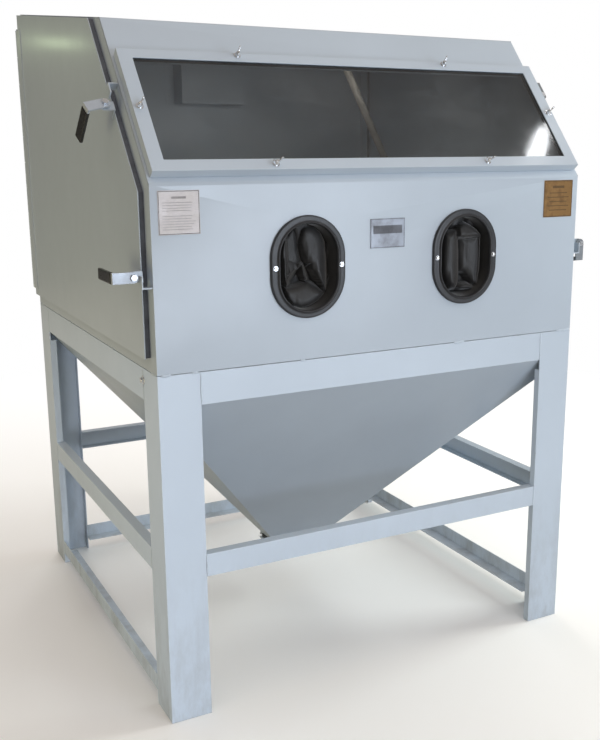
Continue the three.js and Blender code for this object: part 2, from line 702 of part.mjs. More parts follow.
// suction gun above the grate: body, nozzle, grip and rear fitting
function blastGun() {
  return rodX(0, GUN_Z, 19, [235, 372], 20)
    .add(rodX(0, GUN_Z, 10, [190, 236], 16))
    .add(alongY(oval(344, GUN_Z, 13, 17, 6), [-112, -10]))
    .add(rodX(0, GUN_Z, 13, [371, 392], 16));
}

function gunHose() {
  const extrudePath = new THREE.CatmullRomCurve3(
    HOSE_PATH.map((point) => new THREE.Vector3(...point)),
  );
  const options = { steps: 44, extrudePath, bevelEnabled: false };
  return solid(new THREE.ExtrudeGeometry(shapeOf(circle(0, 0, 11, 12)), options));
}

// lamp housing under the roof
function workLight() {
  const front = -150;
  const rear = front + 84;
  const top = roofZ(front) - SHEET - 3;
  return alongX([
    [front, top], [rear, top], [rear, top - 26], [rear - 16, top - 46],
    [front + 16, top - 46], [front, top - 26],
  ], across(310));
}

function addInterior() {
  add('work_grate', workGrate(), 'grate');
  add('blast_gun', blastGun(), 'cast');
  add('gun_hose', gunHose(), 'hose');
  add('work_light', workLight(), 'white');
}

// ---------------------------------------------------------------- plain plates on the front
function addPlate(place, spanX, spanZ, stand, finish) {
  add(`plate_${place}`, box(spanX, [FRONT - stand, FRONT - GAP], spanZ), finish);
}

addStand();
addHopper();
addShell();
Object.keys(SIDES).forEach(addSide);
LATCHES.forEach(addLatch);
addWindow();
addArmPorts();
addInterior();
addPlate('centre', [-51, 49], [1146, 1219], 1.3, 'plate');
addPlate('left', [-592, -494], [1202, 1300], 0.9, 'label');
addPlate('right', [493, 592], [1203, 1302], 0.9, 'copper');

export default root;
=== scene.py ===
"""A blast cabinet with two gloved arm ports, on a four-legged stand, in a white studio.

Pieces are drawn in mm about the centre of the footprint, on the floor: x runs to the right,
y from front to back, z up. to_cad() moves them to the CAD frame, which is in metres.
The front sheet stands upright to BEND_Z and leans back above it.
"""
import math
import random
from fnmatch import fnmatchcase

import bmesh
import bpy
import numpy as np
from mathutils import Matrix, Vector, noise


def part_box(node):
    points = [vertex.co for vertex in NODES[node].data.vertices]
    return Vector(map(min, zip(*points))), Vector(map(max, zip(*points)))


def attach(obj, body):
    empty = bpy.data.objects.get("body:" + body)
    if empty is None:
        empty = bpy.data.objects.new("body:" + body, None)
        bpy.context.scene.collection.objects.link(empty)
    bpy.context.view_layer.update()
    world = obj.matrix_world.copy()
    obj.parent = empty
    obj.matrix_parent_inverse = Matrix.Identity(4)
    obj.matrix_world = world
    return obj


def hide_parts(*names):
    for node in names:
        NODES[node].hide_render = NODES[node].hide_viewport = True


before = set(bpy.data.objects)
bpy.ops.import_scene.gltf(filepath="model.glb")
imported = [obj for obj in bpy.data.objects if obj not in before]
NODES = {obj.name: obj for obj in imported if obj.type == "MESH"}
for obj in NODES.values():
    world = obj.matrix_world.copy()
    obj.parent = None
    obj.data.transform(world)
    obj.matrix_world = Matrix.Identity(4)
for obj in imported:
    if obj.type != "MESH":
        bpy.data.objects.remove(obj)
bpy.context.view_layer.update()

scene = bpy.context.scene

# ------------------------------------------------------------------ frame of reference
_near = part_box("leg_front_left")[0]
_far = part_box("leg_rear_right")[1]
CX, CY = (_near.x + _far.x) / 2, (_near.y + _far.y) / 2      # metres
HALF_W = (_far.x - _near.x) * 500
HALF_D = (_far.y - _near.y) * 500
FRONT, BACK = -HALF_D, HALF_D
STAND_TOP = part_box("leg_front_left")[1].z * 1000
BEND_Z = 1313.0
FACE_RUN, FACE_RISE = 318.7, 378.0         # the leaning face goes this far back and up
_length = math.hypot(FACE_RUN, FACE_RISE)
FACE_UP = Vector((0, FACE_RUN / _length, FACE_RISE / _length))
FACE_OUT = Vector((0, -FACE_RISE / _length, FACE_RUN / _length))

PORT_X = {"left": -224.0, "right": 234.0}
PORT_Z = 1111.0
PORT_W, PORT_H = 76, 104                   # half sizes of the opening
EXHAUST_Z = 1640
GUN_Z = 917.0


def to_cad(point):
    x, y, z = point
    return Vector((x / 1000 + CX, y / 1000 + CY, z / 1000))


def centred_box(name):
    """x0, x1, y0, y1, z0, z1 of a CAD piece, in mm."""
    lo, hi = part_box(name)
    return ((lo.x - CX) * 1000, (hi.x - CX) * 1000, (lo.y - CY) * 1000, (hi.y - CY) * 1000,
            lo.z * 1000, hi.z * 1000)


# ------------------------------------------------------------------ node helpers
def is_socket(value):
    return isinstance(value, bpy.types.NodeSocket)


def rgba(colour):
    return colour if is_socket(colour) else (*colour, 1)


class Nodes:
    """A node tree in the making. Any input takes either a plain value or a socket."""

    def __init__(self, owner, output="ShaderNodeOutputMaterial"):
        owner.use_nodes = True
        self.owner = owner
        self.tree = owner.node_tree
        self.tree.nodes.clear()
        self.output = self.tree.nodes.new(output)

    def new(self, kind, inputs=None, **settings):
        node = self.tree.nodes.new(kind)
        for key, value in settings.items():
            setattr(node, key, value)
        for key, value in (inputs or {}).items():
            if is_socket(value):
                self.tree.links.new(value, node.inputs[key])
            else:
                node.inputs[key].default_value = value
        return node

    def surface(self, shader):
        """Ends the tree with this shader and returns the material or world."""
        self.tree.links.new(shader, self.output.inputs[0])
        return self.owner

    def coord(self, scale=(1, 1, 1), turn=(0, 0, 0), shift=(0, 0, 0)):
        source = self.new("ShaderNodeTexCoord").outputs["Object"]
        return self.new("ShaderNodeMapping", {"Vector": source, "Scale": scale, "Rotation": turn,
                                              "Location": shift}).outputs[0]

    def noise(self, scale, detail=3.0, rough=0.5, at=None):
        return self.new("ShaderNodeTexNoise", {
            "Scale": scale, "Detail": detail, "Roughness": rough,
            "Vector": self.coord() if at is None else at}).outputs["Fac"]

    def remap(self, value, span, to=(0, 1)):
        """Clamped linear map of the span onto the range `to`."""
        inputs = dict(enumerate((value, *span, *to)))
        return self.new("ShaderNodeMapRange", inputs).outputs[0]

    def math(self, operation, a, b=0.0, clamp=False):
        return self.new("ShaderNodeMath", {0: a, 1: b, 2: 0.0}, operation=operation,
                        use_clamp=clamp).outputs[0]

    def dot(self, a, b):
        return self.new("ShaderNodeVectorMath", {0: a, 1: b},
                        operation="DOT_PRODUCT").outputs["Value"]

    def mix(self, amount, a, b):
        return self.new("ShaderNodeMix", {0: amount, 6: rgba(a), 7: rgba(b)},
                        data_type="RGBA").outputs[2]

    def mix_shader(self, amount, a, b):
        return self.new("ShaderNodeMixShader", {0: amount, 1: a, 2: b}).outputs[0]

    def bump(self, height, strength, distance, normal=None):
        inputs = {"Height": height, "Strength": strength, "Distance": distance}
        if normal is not None:
            inputs["Normal"] = normal
        return self.new("ShaderNodeBump", inputs).outputs[0]

    def geometry(self, output):
        return self.new("ShaderNodeNewGeometry").outputs[output]

    def separate(self, vector):
        return self.new("ShaderNodeSeparateXYZ", {0: vector}).outputs

    def principled(self, **inputs):
        inputs = {key.replace("_", " "): value for key, value in inputs.items()}
        return self.new("ShaderNodeBsdfPrincipled", inputs).outputs[0]


def material_nodes(name):
    return Nodes(bpy.data.materials.new(name))


def shade(colour, factor):
    return tuple(min(1, x * factor) for x in colour)


# ------------------------------------------------------------------ materials
def enamel(name, base, rough, seed=0.0, grime=0.0, wear=0.5):
    """Sprayed enamel on sheet steel: orange peel, drifting tone, scuffs, chips, worn edges,
    and dirt near the floor."""
    t = material_nodes(name)
    place = t.coord(shift=(seed, seed * 0.7, seed * 1.3))
    broad = t.noise(scale=1.7, detail=4, rough=0.55, at=place)
    patches = t.noise(scale=9.0, detail=5, rough=0.6, at=place)
    colour = t.mix(t.remap(broad, (0.3, 0.7)), shade(base, 0.945), shade(base, 1.03))
    colour = t.mix(t.remap(patches, (0.35, 0.75), to=(0, 0.22)), colour, shade(base, 0.9))
    # handling scuffs: stretched noise cut to thin pale strokes
    across = t.coord(scale=(1.5, 1.5, 16), turn=(0.35, 0.2, 0.5), shift=(seed, 3, 1))
    along = t.coord(scale=(14, 2, 2.0), turn=(0.2, 0.9, 0.1), shift=(seed, 7, 5))
    scuffs = t.math("MAXIMUM",
                    t.remap(t.noise(scale=7.0, detail=8, rough=0.72, at=across), (0.70, 0.78)),
                    t.remap(t.noise(scale=7.0, detail=8, rough=0.72, at=along), (0.71, 0.79)))
    colour = t.mix(t.math("MULTIPLY", scuffs, 0.16), colour, (0.82, 0.84, 0.86))
    # tiny chips, in some places only
    cells = t.new("ShaderNodeTexVoronoi", {"Scale": 42, "Vector": place}).outputs["Distance"]
    chips = t.math("MULTIPLY", t.remap(cells, (0.02, 0.045), to=(1, 0)),
                   t.remap(t.noise(scale=5.0, detail=1, at=place), (0.60, 0.66)))
    colour = t.mix(t.math("MULTIPLY", chips, 0.45), colour, (0.20, 0.19, 0.18))
    # edges show where the bevelled normal leaves the true one
    bevel = t.new("ShaderNodeBevel", {"Radius": 0.004}, samples=4).outputs[0]
    edges = t.remap(t.dot(bevel, t.geometry("Normal")), (0.80, 0.985), to=(1, 0))
    patchy = t.remap(t.noise(scale=30, detail=6, rough=0.7, at=place), (0.56, 0.70))
    worn = t.math("MULTIPLY", edges, patchy)
    colour = t.mix(t.math("MULTIPLY", edges, 0.10), colour, (0.86, 0.89, 0.92))
    colour = t.mix(t.math("MULTIPLY", worn, wear), colour, (0.26, 0.25, 0.24))
    roughness = t.math("ADD", t.remap(patches, (0.2, 0.8), to=(-0.05, 0.07)), rough)
    roughness = t.math("ADD", roughness, t.math("MULTIPLY", scuffs, 0.12))
    if grime:
        low = t.remap(t.separate(t.coord())[2], (0.0, 0.45), to=(1, 0))
        runs = t.noise(scale=14, detail=6, rough=0.7, at=t.coord(scale=(1, 1, 0.35)))
        dirt = t.math("MULTIPLY", low, t.remap(runs, (0.42, 0.72)))
        colour = t.mix(t.math("MULTIPLY", dirt, grime), colour, (0.20, 0.185, 0.16))
        roughness = t.math("ADD", roughness, t.math("MULTIPLY", dirt, 0.25))
    peel = t.noise(scale=420, detail=2, at=place)
    buckle = t.noise(scale=2.6, detail=2, rough=0.4, at=place)
    normal = t.bump(buckle, strength=0.35, distance=0.004)
    normal = t.bump(peel, strength=0.10, distance=0.0004, normal=normal)
    return t.surface(t.principled(Base_Color=colour, Roughness=roughness, Normal=normal,
                                  Coat_Weight=0.25, Coat_Roughness=0.16,
                                  Specular_IOR_Level=0.45))


def metal(name, base, rough, brushing=(1, 1, 1), tone=0.12, pits=0.0, metallic=0.96):
    """Plated or bare metal with streaked tone and fine brushing."""
    t = material_nodes(name)
    streaks = t.noise(scale=220, detail=5, rough=0.7, at=t.coord(scale=brushing))
    blotches = t.noise(scale=24, detail=4, rough=0.6)
    colour = t.mix(t.remap(streaks, (0.3, 0.7)), shade(base, 1 - tone),
                   shade(base, 1 + tone * 0.6))
    colour = t.mix(t.remap(blotches, (0.5, 0.8), to=(0, 0.35)), colour, shade(base, 0.66))
    roughness = t.math("ADD", t.remap(blotches, (0.3, 0.7), to=(-0.06, 0.10)), rough)
    normal = t.bump(streaks, strength=0.12, distance=0.0003)
    if pits:
        fine = t.noise(scale=600, detail=3, rough=0.6)
        normal = t.bump(fine, strength=pits, distance=0.0006, normal=normal)
    return t.surface(t.principled(Base_Color=colour, Roughness=roughness, Metallic=metallic,
                                  Normal=normal))


def rubber(name, base, rough, dust, grain, relief):
    """Moulded or sponge rubber: pore grain, and dust that gathers on upward faces."""
    t = material_nodes(name)
    blotches = t.noise(scale=18, detail=5, rough=0.65)
    pores = t.noise(scale=grain, detail=3, rough=0.6)
    colour = t.mix(t.remap(blotches, (0.3, 0.75)), shade(base, 0.75),
                   tuple(x * 1.35 + 0.004 for x in base))
    upward = t.separate(t.geometry("Normal"))[2]
    bloom = t.math("MULTIPLY", t.remap(upward, (-0.1, 0.9), to=(0.15, 1)),
                   t.remap(blotches, (0.40, 0.75), to=(0.2, 1)))
    colour = t.mix(t.math("MULTIPLY", bloom, dust), colour, (0.34, 0.33, 0.31))
    roughness = t.math("ADD", t.remap(pores, (0.3, 0.7), to=(-0.06, 0.08)), rough)
    return t.surface(t.principled(
        Base_Color=colour, Roughness=roughness,
        Normal=t.bump(pores, strength=relief, distance=0.0006)))


def coated_cloth(name):
    """Rubber-coated fabric: a plain weave under a dull coating, dust on the crests."""
    t = material_nodes(name)
    blotches = t.noise(scale=9, detail=5, rough=0.62)
    colour = t.mix(t.remap(blotches, (0.3, 0.75)), (0.012, 0.012, 0.013), (0.030, 0.030, 0.031))
    threads = [t.new("ShaderNodeTexWave", {"Scale": 260, "Distortion": 0.6, "Vector": t.coord()},
                     bands_direction=axis).outputs["Fac"] for axis in "XZ"]
    weave = t.math("MULTIPLY", *threads)
    upward = t.separate(t.geometry("Normal"))[2]
    dust = t.math("MULTIPLY", t.remap(upward, (0.0, 0.9), to=(0.08, 0.8)),
                  t.remap(blotches, (0.4, 0.75), to=(0.1, 1)))
    colour = t.mix(t.math("MULTIPLY", dust, 0.22), colour, (0.30, 0.29, 0.27))
    normal = t.bump(weave, strength=0.25, distance=0.0004)
    creases = t.noise(scale=60, detail=6, rough=0.7)
    normal = t.bump(creases, strength=0.25, distance=0.001, normal=normal)
    return t.surface(t.principled(
        Base_Color=colour, Roughness=t.remap(blotches, (0.3, 0.7), to=(0.44, 0.60)),
        Normal=normal, Sheen_Weight=0.35, Sheen_Roughness=0.4, Specular_IOR_Level=0.6))


def window_pane(name):
    """Slightly grey window with a bright reflection and a faint abrasive haze."""
    t = material_nodes(name)
    haze = t.noise(scale=5.5, detail=7, rough=0.7, at=t.coord(scale=(1, 1.4, 1)))
    swipes = t.noise(scale=30, detail=6, rough=0.75,
                     at=t.coord(scale=(8, 1, 1), turn=(0.3, 0.4, 0.2)))
    clear = t.new("ShaderNodeBsdfTransparent", {0: (0.68, 0.68, 0.665, 1)})
    ripple = t.bump(t.noise(scale=3.2), strength=0.22, distance=0.003)
    mirror = t.new("ShaderNodeBsdfGlossy", {
        "Color": (0.95, 0.97, 1.0, 1), "Normal": ripple,
        "Roughness": t.remap(haze, (0.3, 0.8), to=(0.035, 0.17))})
    fresnel = t.new("ShaderNodeFresnel", {0: 1.52}).outputs[0]
    # the pane passes light straight through, so only its entry face mirrors and carries dust
    entry = t.math("SUBTRACT", 1.0, t.geometry("Backfacing"))
    mirrored = t.math("MULTIPLY", t.math("MULTIPLY", fresnel, 1.15, clamp=True), entry)
    pane = t.mix_shader(mirrored, clear.outputs[0], mirror.outputs[0])
    powder = t.new("ShaderNodeBsdfDiffuse", {0: (0.55, 0.56, 0.56, 1)}).outputs[0]
    dust = t.math("ADD", t.remap(haze, (0.45, 0.8), to=(0.012, 0.07)),
                  t.remap(swipes, (0.62, 0.75), to=(0, 0.05)))
    material = t.surface(t.mix_shader(t.math("MULTIPLY", dust, entry), pane, powder))
    material.blend_method = "BLEND"
    return material


def thin_plate(name, base, rough, brushing, metallic, tarnish):
    """Thin printed or brushed plate with soft blotches of tarnish."""
    t = material_nodes(name)
    streaks = t.noise(scale=60, detail=5, rough=0.7, at=t.coord(scale=brushing))
    blotches = t.noise(scale=26, detail=5, rough=0.65)
    colour = t.mix(t.remap(streaks, (0.3, 0.7)), shade(base, 0.82), shade(base, 1.12))
    colour = t.mix(t.remap(blotches, (0.46, 0.66), to=(0, 0.75)), colour, tarnish)
    roughness = t.math("ADD", t.remap(blotches, (0.3, 0.7), to=(-0.06, 0.12)), rough)
    return t.surface(t.principled(
        Base_Color=colour, Roughness=roughness, Metallic=metallic,
        Normal=t.bump(streaks, strength=0.08, distance=0.0003)))


BLUE = (0.515, 0.585, 0.665)
# `brushing` squeezes the streaks along the axis with the large number
M = {
    "paint": enamel("enamel_shell", BLUE, rough=0.36),
    "door": enamel("enamel_doors", BLUE, rough=0.33, seed=3.1),
    "stand": enamel("enamel_stand", BLUE, rough=0.38, seed=6.3, grime=0.55, wear=0.7),
    "hopper": enamel("enamel_hopper", shade(BLUE, 0.97), rough=0.36, seed=9.4, wear=0.6),
    "weld": enamel("enamel_on_weld", shade(BLUE, 1.12), rough=0.44, seed=4.4, wear=0.9),
    "lamp": enamel("lamp_enamel", (0.78, 0.78, 0.74), rough=0.35, seed=12.0, wear=0.2),
    "zinc": metal("zinc_plate", (0.74, 0.76, 0.79), rough=0.27, brushing=(1, 1, 8)),
    "bright": metal("bright_zinc", (0.86, 0.87, 0.89), rough=0.20, brushing=(1, 1, 4), tone=0.08),
    "lever": metal("passivated_zinc", (0.56, 0.61, 0.68), rough=0.44, brushing=(1, 1, 8),
                   metallic=0.45),
    # darker copy of the lever zinc for the right-hand levers: painted shade
    "lever_dull": metal("zinc_painted_shade", (0.30, 0.32, 0.34), rough=0.46, brushing=(1, 1, 8),
                        tone=0.2, metallic=0.6),
    "steel": metal("dull_steel", (0.40, 0.40, 0.40), rough=0.48, brushing=(8, 1, 1), tone=0.25,
                   pits=0.2),
    "cast": metal("cast_alloy", (0.46, 0.47, 0.49), rough=0.42, pits=0.5),
    "brass": metal("dull_brass", (0.56, 0.43, 0.20), rough=0.34, brushing=(1, 1, 6), tone=0.16),
    "gasket": rubber("sponge_rubber", (0.040, 0.044, 0.054), rough=0.78, dust=0.10, grain=700,
                     relief=0.5),
    "sponge": rubber("sponge_grey", (0.125, 0.138, 0.172), rough=0.82, dust=0.12, grain=700,
                     relief=0.5),
    "ring": rubber("ring_black", (0.026, 0.027, 0.031), rough=0.38, dust=0.06, grain=500,
                   relief=0.08),
    "vinyl": rubber("dipped_vinyl", (0.011, 0.011, 0.012), rough=0.30, dust=0.03, grain=260,
                    relief=0.05),
    "hose": rubber("hose_rubber", (0.17, 0.165, 0.155), rough=0.6, dust=0.2, grain=600,
                   relief=0.2),
    "hem": rubber("hem_band", (0.030, 0.030, 0.031), rough=0.55, dust=0.12, grain=500,
                  relief=0.2),
    "diffuser": rubber("opal_plastic", (0.62, 0.62, 0.58), rough=0.42, dust=0.35, grain=300,
                       relief=0.04),
    "ceramic": rubber("nozzle_ceramic", (0.62, 0.58, 0.50), rough=0.35, dust=0.2, grain=700,
                      relief=0.12),
    "ink": rubber("dark_ink", (0.10, 0.10, 0.105), rough=0.5, dust=0.3, grain=900, relief=0.05),
    "faint": rubber("faint_ink", (0.33, 0.31, 0.31), rough=0.55, dust=0.3, grain=900,
                    relief=0.05),
    "cloth": coated_cloth("coated_fabric"),
    "glass": window_pane("window_pane"),
    "plate": thin_plate("brushed_plate", (0.23, 0.24, 0.26), rough=0.34, brushing=(60, 1, 1),
                        metallic=0.85, tarnish=(0.15, 0.15, 0.16)),
    "label": thin_plate("pale_film", (0.51, 0.465, 0.45), rough=0.42, brushing=(1, 1, 40),
                        metallic=0.25, tarnish=(0.62, 0.58, 0.56)),
    "copper": thin_plate("copper_plate", (0.35, 0.20, 0.08), rough=0.34, brushing=(1, 1, 30),
                         metallic=0.75, tarnish=(0.16, 0.085, 0.035)),
    "dark_copper": thin_plate("etched_copper", (0.15, 0.085, 0.035), rough=0.5,
                              brushing=(1, 1, 30), metallic=0.5, tarnish=(0.10, 0.06, 0.03)),
    "etched": thin_plate("etched_plate", (0.13, 0.13, 0.14), rough=0.5, brushing=(60, 1, 1),
                         metallic=0.8, tarnish=(0.09, 0.09, 0.095)),
}


def give(o, material):
    o.data.materials.clear()
    o.data.materials.append(material)


# ------------------------------------------------------------------ CAD pieces
def cad_finish(o, material, width, segments=2, angle=35):
    """Keeps the CAD mesh; modifiers weld its corners and break its edges to a width in m."""
    give(o, M[material])
    for face in o.data.polygons:
        face.use_smooth = bool(width)
    normals = o.data.attributes.get("custom_normal")
    if normals is not None:
        o.data.attributes.remove(normals)
    o.modifiers.new("weld", "WELD").merge_threshold = 1e-5
    if width:
        edge = o.modifiers.new("edge", "BEVEL")
        edge.width = width
        edge.segments = segments
        edge.limit_method = "ANGLE"
        edge.angle_limit = math.radians(angle)
        edge.use_clamp_overlap = True
        edge.harden_normals = True
        edge.miter_outer = "MITER_ARC"


# name pattern, material, edge width in m, then bevel segments and angle; the first match counts
FINISHES = [
    ("leg_*", "stand", 0.0011), ("*_rail_*", "stand", 0.0011),
    ("door_gasket*", "sponge", 0.0012), ("*gasket*", "gasket", 0.0012),
    ("door_*", "door", 0.0008), ("hopper", "hopper", 0.0009), ("window_glass", "glass", 0.0),
    # the right-hand latch levers take the darker lever zinc, which paints shade on them
    ("latch_lever_right*", "lever_dull", 0.0006), ("latch_lever*", "lever", 0.0006),
    ("latch_bolt*", "zinc", 0.0006), ("hinge_pin*", "zinc", 0.0006),
    ("cleanout_hinge_pin*", "zinc", 0.0006), ("cleanout_bolt*", "zinc", 0.0006),
    ("latch_grip*", "vinyl", 0.0026, 4, 20), ("glove*", "cloth", 0),
    ("arm_ring*", "ring", 0.0015), ("plate_centre", "plate", 0.0002),
    ("plate_left", "label", 0.0001), ("plate_right", "copper", 0.0001),
    ("blast_gun", "cast", 0.0015), ("gun_hose", "hose", 0), ("work_light", "lamp", 0.0012),
    ("work_grate", "steel", 0.0004), ("*", "paint", 0.0010),
]
for name, o in NODES.items():
    cad_finish(o, *next(rule[1:] for rule in FINISHES if fnmatchcase(name, rule[0])))


def press_front_bends():
    """Gives the two long bends of the front sheet a real radius before edges are broken."""
    panel = NODES["front_panel"]
    # y, z of a bend, how near in z an edge has to lie
    bends = ((FRONT, BEND_Z, 2.2), (FRONT + FACE_RUN, BEND_Z + FACE_RISE, 3.5))
    near_y = 3.2
    min_length = 0.05                      # metres along x
    weight = panel.data.attributes.new("bevel_weight_edge", "FLOAT", "EDGE")
    for i, edge in enumerate(panel.data.edges):
        ends = [panel.data.vertices[k].co for k in edge.vertices]
        on_bend = any(all(abs(p.z * 1000 - z) < near_z and abs((p.y - CY) * 1000 - y) < near_y
                          for p in ends) for y, z, near_z in bends)
        is_long = abs(ends[0].x - ends[1].x) > min_length
        weight.data[i].value = 1.0 if on_bend and is_long else 0.0
    bend = panel.modifiers.new("bend", "BEVEL")
    bend.width = 0.0045
    bend.segments = 5
    bend.limit_method = "WEIGHT"
    panel.modifiers.move(panel.modifiers.find("bend"), 1)


press_front_bends()


# ------------------------------------------------------------------ mesh helpers
# a mesh under construction is a pair: vertices, faces
def join(*parts):
    verts, faces = [], []
    for part_verts, part_faces in parts:
        start = len(verts)
        verts += list(part_verts)
        faces += [tuple(i + start for i in face) for face in part_faces]
    return verts, faces


def rings_mesh(rings, caps=True, loop=False):
    """Skin over closed rings; loop joins the last ring to the first."""
    n, count = len(rings[0]), len(rings)
    verts = [p for ring in rings for p in ring]
    faces = []
    for i in range(count if loop else count - 1):
        here, after = i * n, ((i + 1) % count) * n
        for j in range(n):
            k = (j + 1) % n
            faces.append((here + j, here + k, after + k, after + j))
    if caps and not loop:
        faces.append(tuple(range(n))[::-1])
        faces.append(tuple(range((count - 1) * n, count * n)))
    return verts, faces


def angles(n):
    return [2 * math.pi * k / n for k in range(n)]


def signed_power(value, exponent):
    """Power that keeps the sign: turns an ellipse into a squarer oval."""
    return math.copysign(abs(value) ** exponent, value)


def frame_of(origin, ez, ex=None):
    """Maps local a, b, c to a point; ez is the local z axis, ex leans towards local x."""
    ez = Vector(ez).normalized()
    if ex is None:
        ex = (1, 0, 0) if abs(ez.x) < 0.9 else (0, 1, 0)
    ex = Vector(ex)
    ex = (ex - ez * ex.dot(ez)).normalized()
    ey = ez.cross(ex)
    origin = Vector(origin)
    return lambda a, b, c: origin + ex * a + ey * b + ez * c


def lathe(profile, at, n=32):
    """(radius, height) pairs turned about the local z axis."""
    return rings_mesh([[at(r * math.cos(a), r * math.sin(a), h) for a in angles(n)]
                       for r, h in profile])


def prism(outline, at, h0, h1, rounding=0.0):
    """An outline in the local xy plane, extruded from h0 to h1; rounding softens the rims."""
    centre = Vector((sum(p[0] for p in outline) / len(outline),
                     sum(p[1] for p in outline) / len(outline)))
    levels = [(h0, False), (h1, False)]
    if rounding:
        levels = [(h0, True), (h0 + rounding, False), (h1 - rounding, False), (h1, True)]
    rings = []
    for h, shrunk in levels:
        ring = []
        for x, y in outline:
            if shrunk:
                arm = Vector((x, y)) - centre
                scale = 1 - rounding / max(arm.length, 1e-6)
                x, y = centre.x + arm.x * scale, centre.y + arm.y * scale
            ring.append(at(x, y, h))
        rings.append(ring)
    return rings_mesh(rings)


def rectangle(half_x, half_y):
    return [(-half_x, -half_y), (half_x, -half_y), (half_x, half_y), (-half_x, half_y)]


def hexagon(across_flats, turn=0.0):
    r = across_flats / math.sqrt(3)
    return [(r * math.cos(turn + math.pi * k / 3), r * math.sin(turn + math.pi * k / 3))
            for k in range(6)]


def hex_screw(at, flats, head, washer_r=0.0, washer=0.0, turn=0.0, dome=0.0):
    """Hexagon head, with an optional washer below and a domed top; `head` and `washer` are
    thicknesses."""
    parts = []
    z = -0.4                               # sunk a little into the surface
    if washer_r:
        parts.append(lathe([(0.2, z), (washer_r, z), (washer_r, washer - 0.3),
                            (washer_r - 0.4, washer), (0.2, washer)], at, 32))
        z = washer - 0.2
    parts.append(rings_mesh([[at(x * s, y * s, h) for x, y in hexagon(flats, turn)]
                             for s, h in ((1, z), (1, z + head * 0.86), (0.955, z + head))]))
    if dome:
        top = z + head
        parts.append(lathe([(flats * 0.46, top - 0.3), (flats * 0.40, top + dome * 0.5),
                            (flats * 0.22, top + dome), (0.2, top + dome * 1.1)], at, 24))
    return join(*parts)


def catmull_rom(a, b, c, d, t):
    return 0.5 * ((2 * b) + (c - a) * t + (2 * a - 5 * b + 4 * c - d) * t * t
                  + (3 * b - a - 3 * c + d) * t ** 3)


def smooth_path(points, step):
    """A curve through the points, sampled about every `step` mm."""
    p = [Vector(q) for q in points]
    p = [p[0] * 2 - p[1]] + p + [p[-1] * 2 - p[-2]]
    dense = [catmull_rom(*p[i - 1:i + 3], k / 40) for i in range(1, len(p) - 2)
             for k in range(40)]
    dense.append(p[-2])
    path, run = [dense[0]], 0.0
    for a, b in zip(dense, dense[1:]):
        run += (b - a).length
        if run >= step:
            path.append(b)
            run = 0.0
    if (path[-1] - dense[-1]).length > step * 0.3:
        path.append(dense[-1])
    return path


def tube(path, radius, n):
    """Capped tube along a path; radius is a function of point index and angle."""
    rings, up = [], None
    for i, p in enumerate(path):
        along = (path[min(len(path) - 1, i + 1)] - path[max(0, i - 1)]).normalized()
        if up is None:
            up = along.orthogonal().normalized()
        up = (up - along * up.dot(along)).normalized()
        side = along.cross(up)
        rings.append([p + up * (radius(i, a) * math.cos(a)) + side * (radius(i, a) * math.sin(a))
                      for a in angles(n)])
    return rings_mesh(rings)


def piece(name, mesh, material, angle=180, recalc=True, replaces=()):
    """Makes the object. Edges sharper than angle stay sharp; 180 smooths them all."""
    verts, faces = mesh
    me = bpy.data.meshes.new(name)
    me.from_pydata([to_cad(p) for p in verts], [], faces)
    if recalc:
        bm = bmesh.new()
        bm.from_mesh(me)
        bmesh.ops.recalc_face_normals(bm, faces=bm.faces)
        bm.to_mesh(me)
        bm.free()
    for face in me.polygons:
        face.use_smooth = True
    if angle < 180:
        me.set_sharp_from_angle(angle=math.radians(angle))
    o = bpy.data.objects.new(name, me)
    scene.collection.objects.link(o)
    give(o, M[material])
    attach(o, "root")
    if replaces:
        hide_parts(*replaces)
    return o


def bake(o):
    """Applies every modifier, so that the piece is a plain mesh."""
    depsgraph = bpy.context.evaluated_depsgraph_get()
    me = bpy.data.meshes.new_from_object(o.evaluated_get(depsgraph), depsgraph=depsgraph)
    o.modifiers.clear()
    old = o.data
    o.data = me
    bpy.data.meshes.remove(old)


def noise_at(x, y, z, scale):
    return noise.noise(Vector((x * scale, y * scale, z * scale)))


# ------------------------------------------------------------------ arm rings
def oval(cx, cz, half_w, half_h, n=44):
    """Two half circles joined by straight sides; each half circle has n steps."""
    rise = half_h - half_w
    halves = ((0, rise), (math.pi, -rise))
    return [(cx + half_w * math.cos(start + math.pi * i / n),
             cz + shift + half_w * math.sin(start + math.pi * i / n))
            for start, shift in halves for i in range(n + 1)]


# place across the ring (0 inner rim, 1 outer rim), y behind the front sheet
RING_PROFILE = [
    (0.0, 22.0), (0.0, 8.0), (0.0, -4.0), (0.012, -7.6), (0.05, -10.4), (0.11, -12.0),
    (0.17, -12.3), (0.225, -11.4), (0.265, -9.8), (0.30, -8.6), (0.36, -8.0), (0.50, -7.9),
    (0.70, -7.9), (0.86, -7.9), (0.925, -7.5), (0.97, -6.2), (0.995, -4.2), (1.0, -2.2),
    (1.0, -0.35), (0.55, -0.35), (0.075, -0.35), (0.075, 22.0),
]
RING_OUTER = (100, 124)                    # half sizes
RING_FACE = 7.9                            # how far the flat of the ring stands forward
RING_SCREW_X = 88.5


def port_ring(side, cx):
    inner, outer = oval(cx, PORT_Z, PORT_W, PORT_H), oval(cx, PORT_Z, *RING_OUTER)
    rings = [[(p[0] + (q[0] - p[0]) * across, FRONT + y, p[1] + (q[1] - p[1]) * across)
              for p, q in zip(inner, outer)] for across, y in RING_PROFILE]
    piece(f"port_ring_{side}", rings_mesh(rings, loop=True), "ring", angle=50,
          replaces=(f"arm_ring_{side}",))
    screws = []
    for sx in (-1, 1):
        at = frame_of((cx + sx * RING_SCREW_X, FRONT - RING_FACE, PORT_Z + 2), (0, -1, 0))
        screws.append(hex_screw(at, flats=8.0, head=3.6, washer_r=6.2, washer=1.0,
                                turn=0.4 + cx * 0.01 + sx, dome=0.7))
    piece(f"ring_screws_{side}", join(*screws), "bright", angle=30)


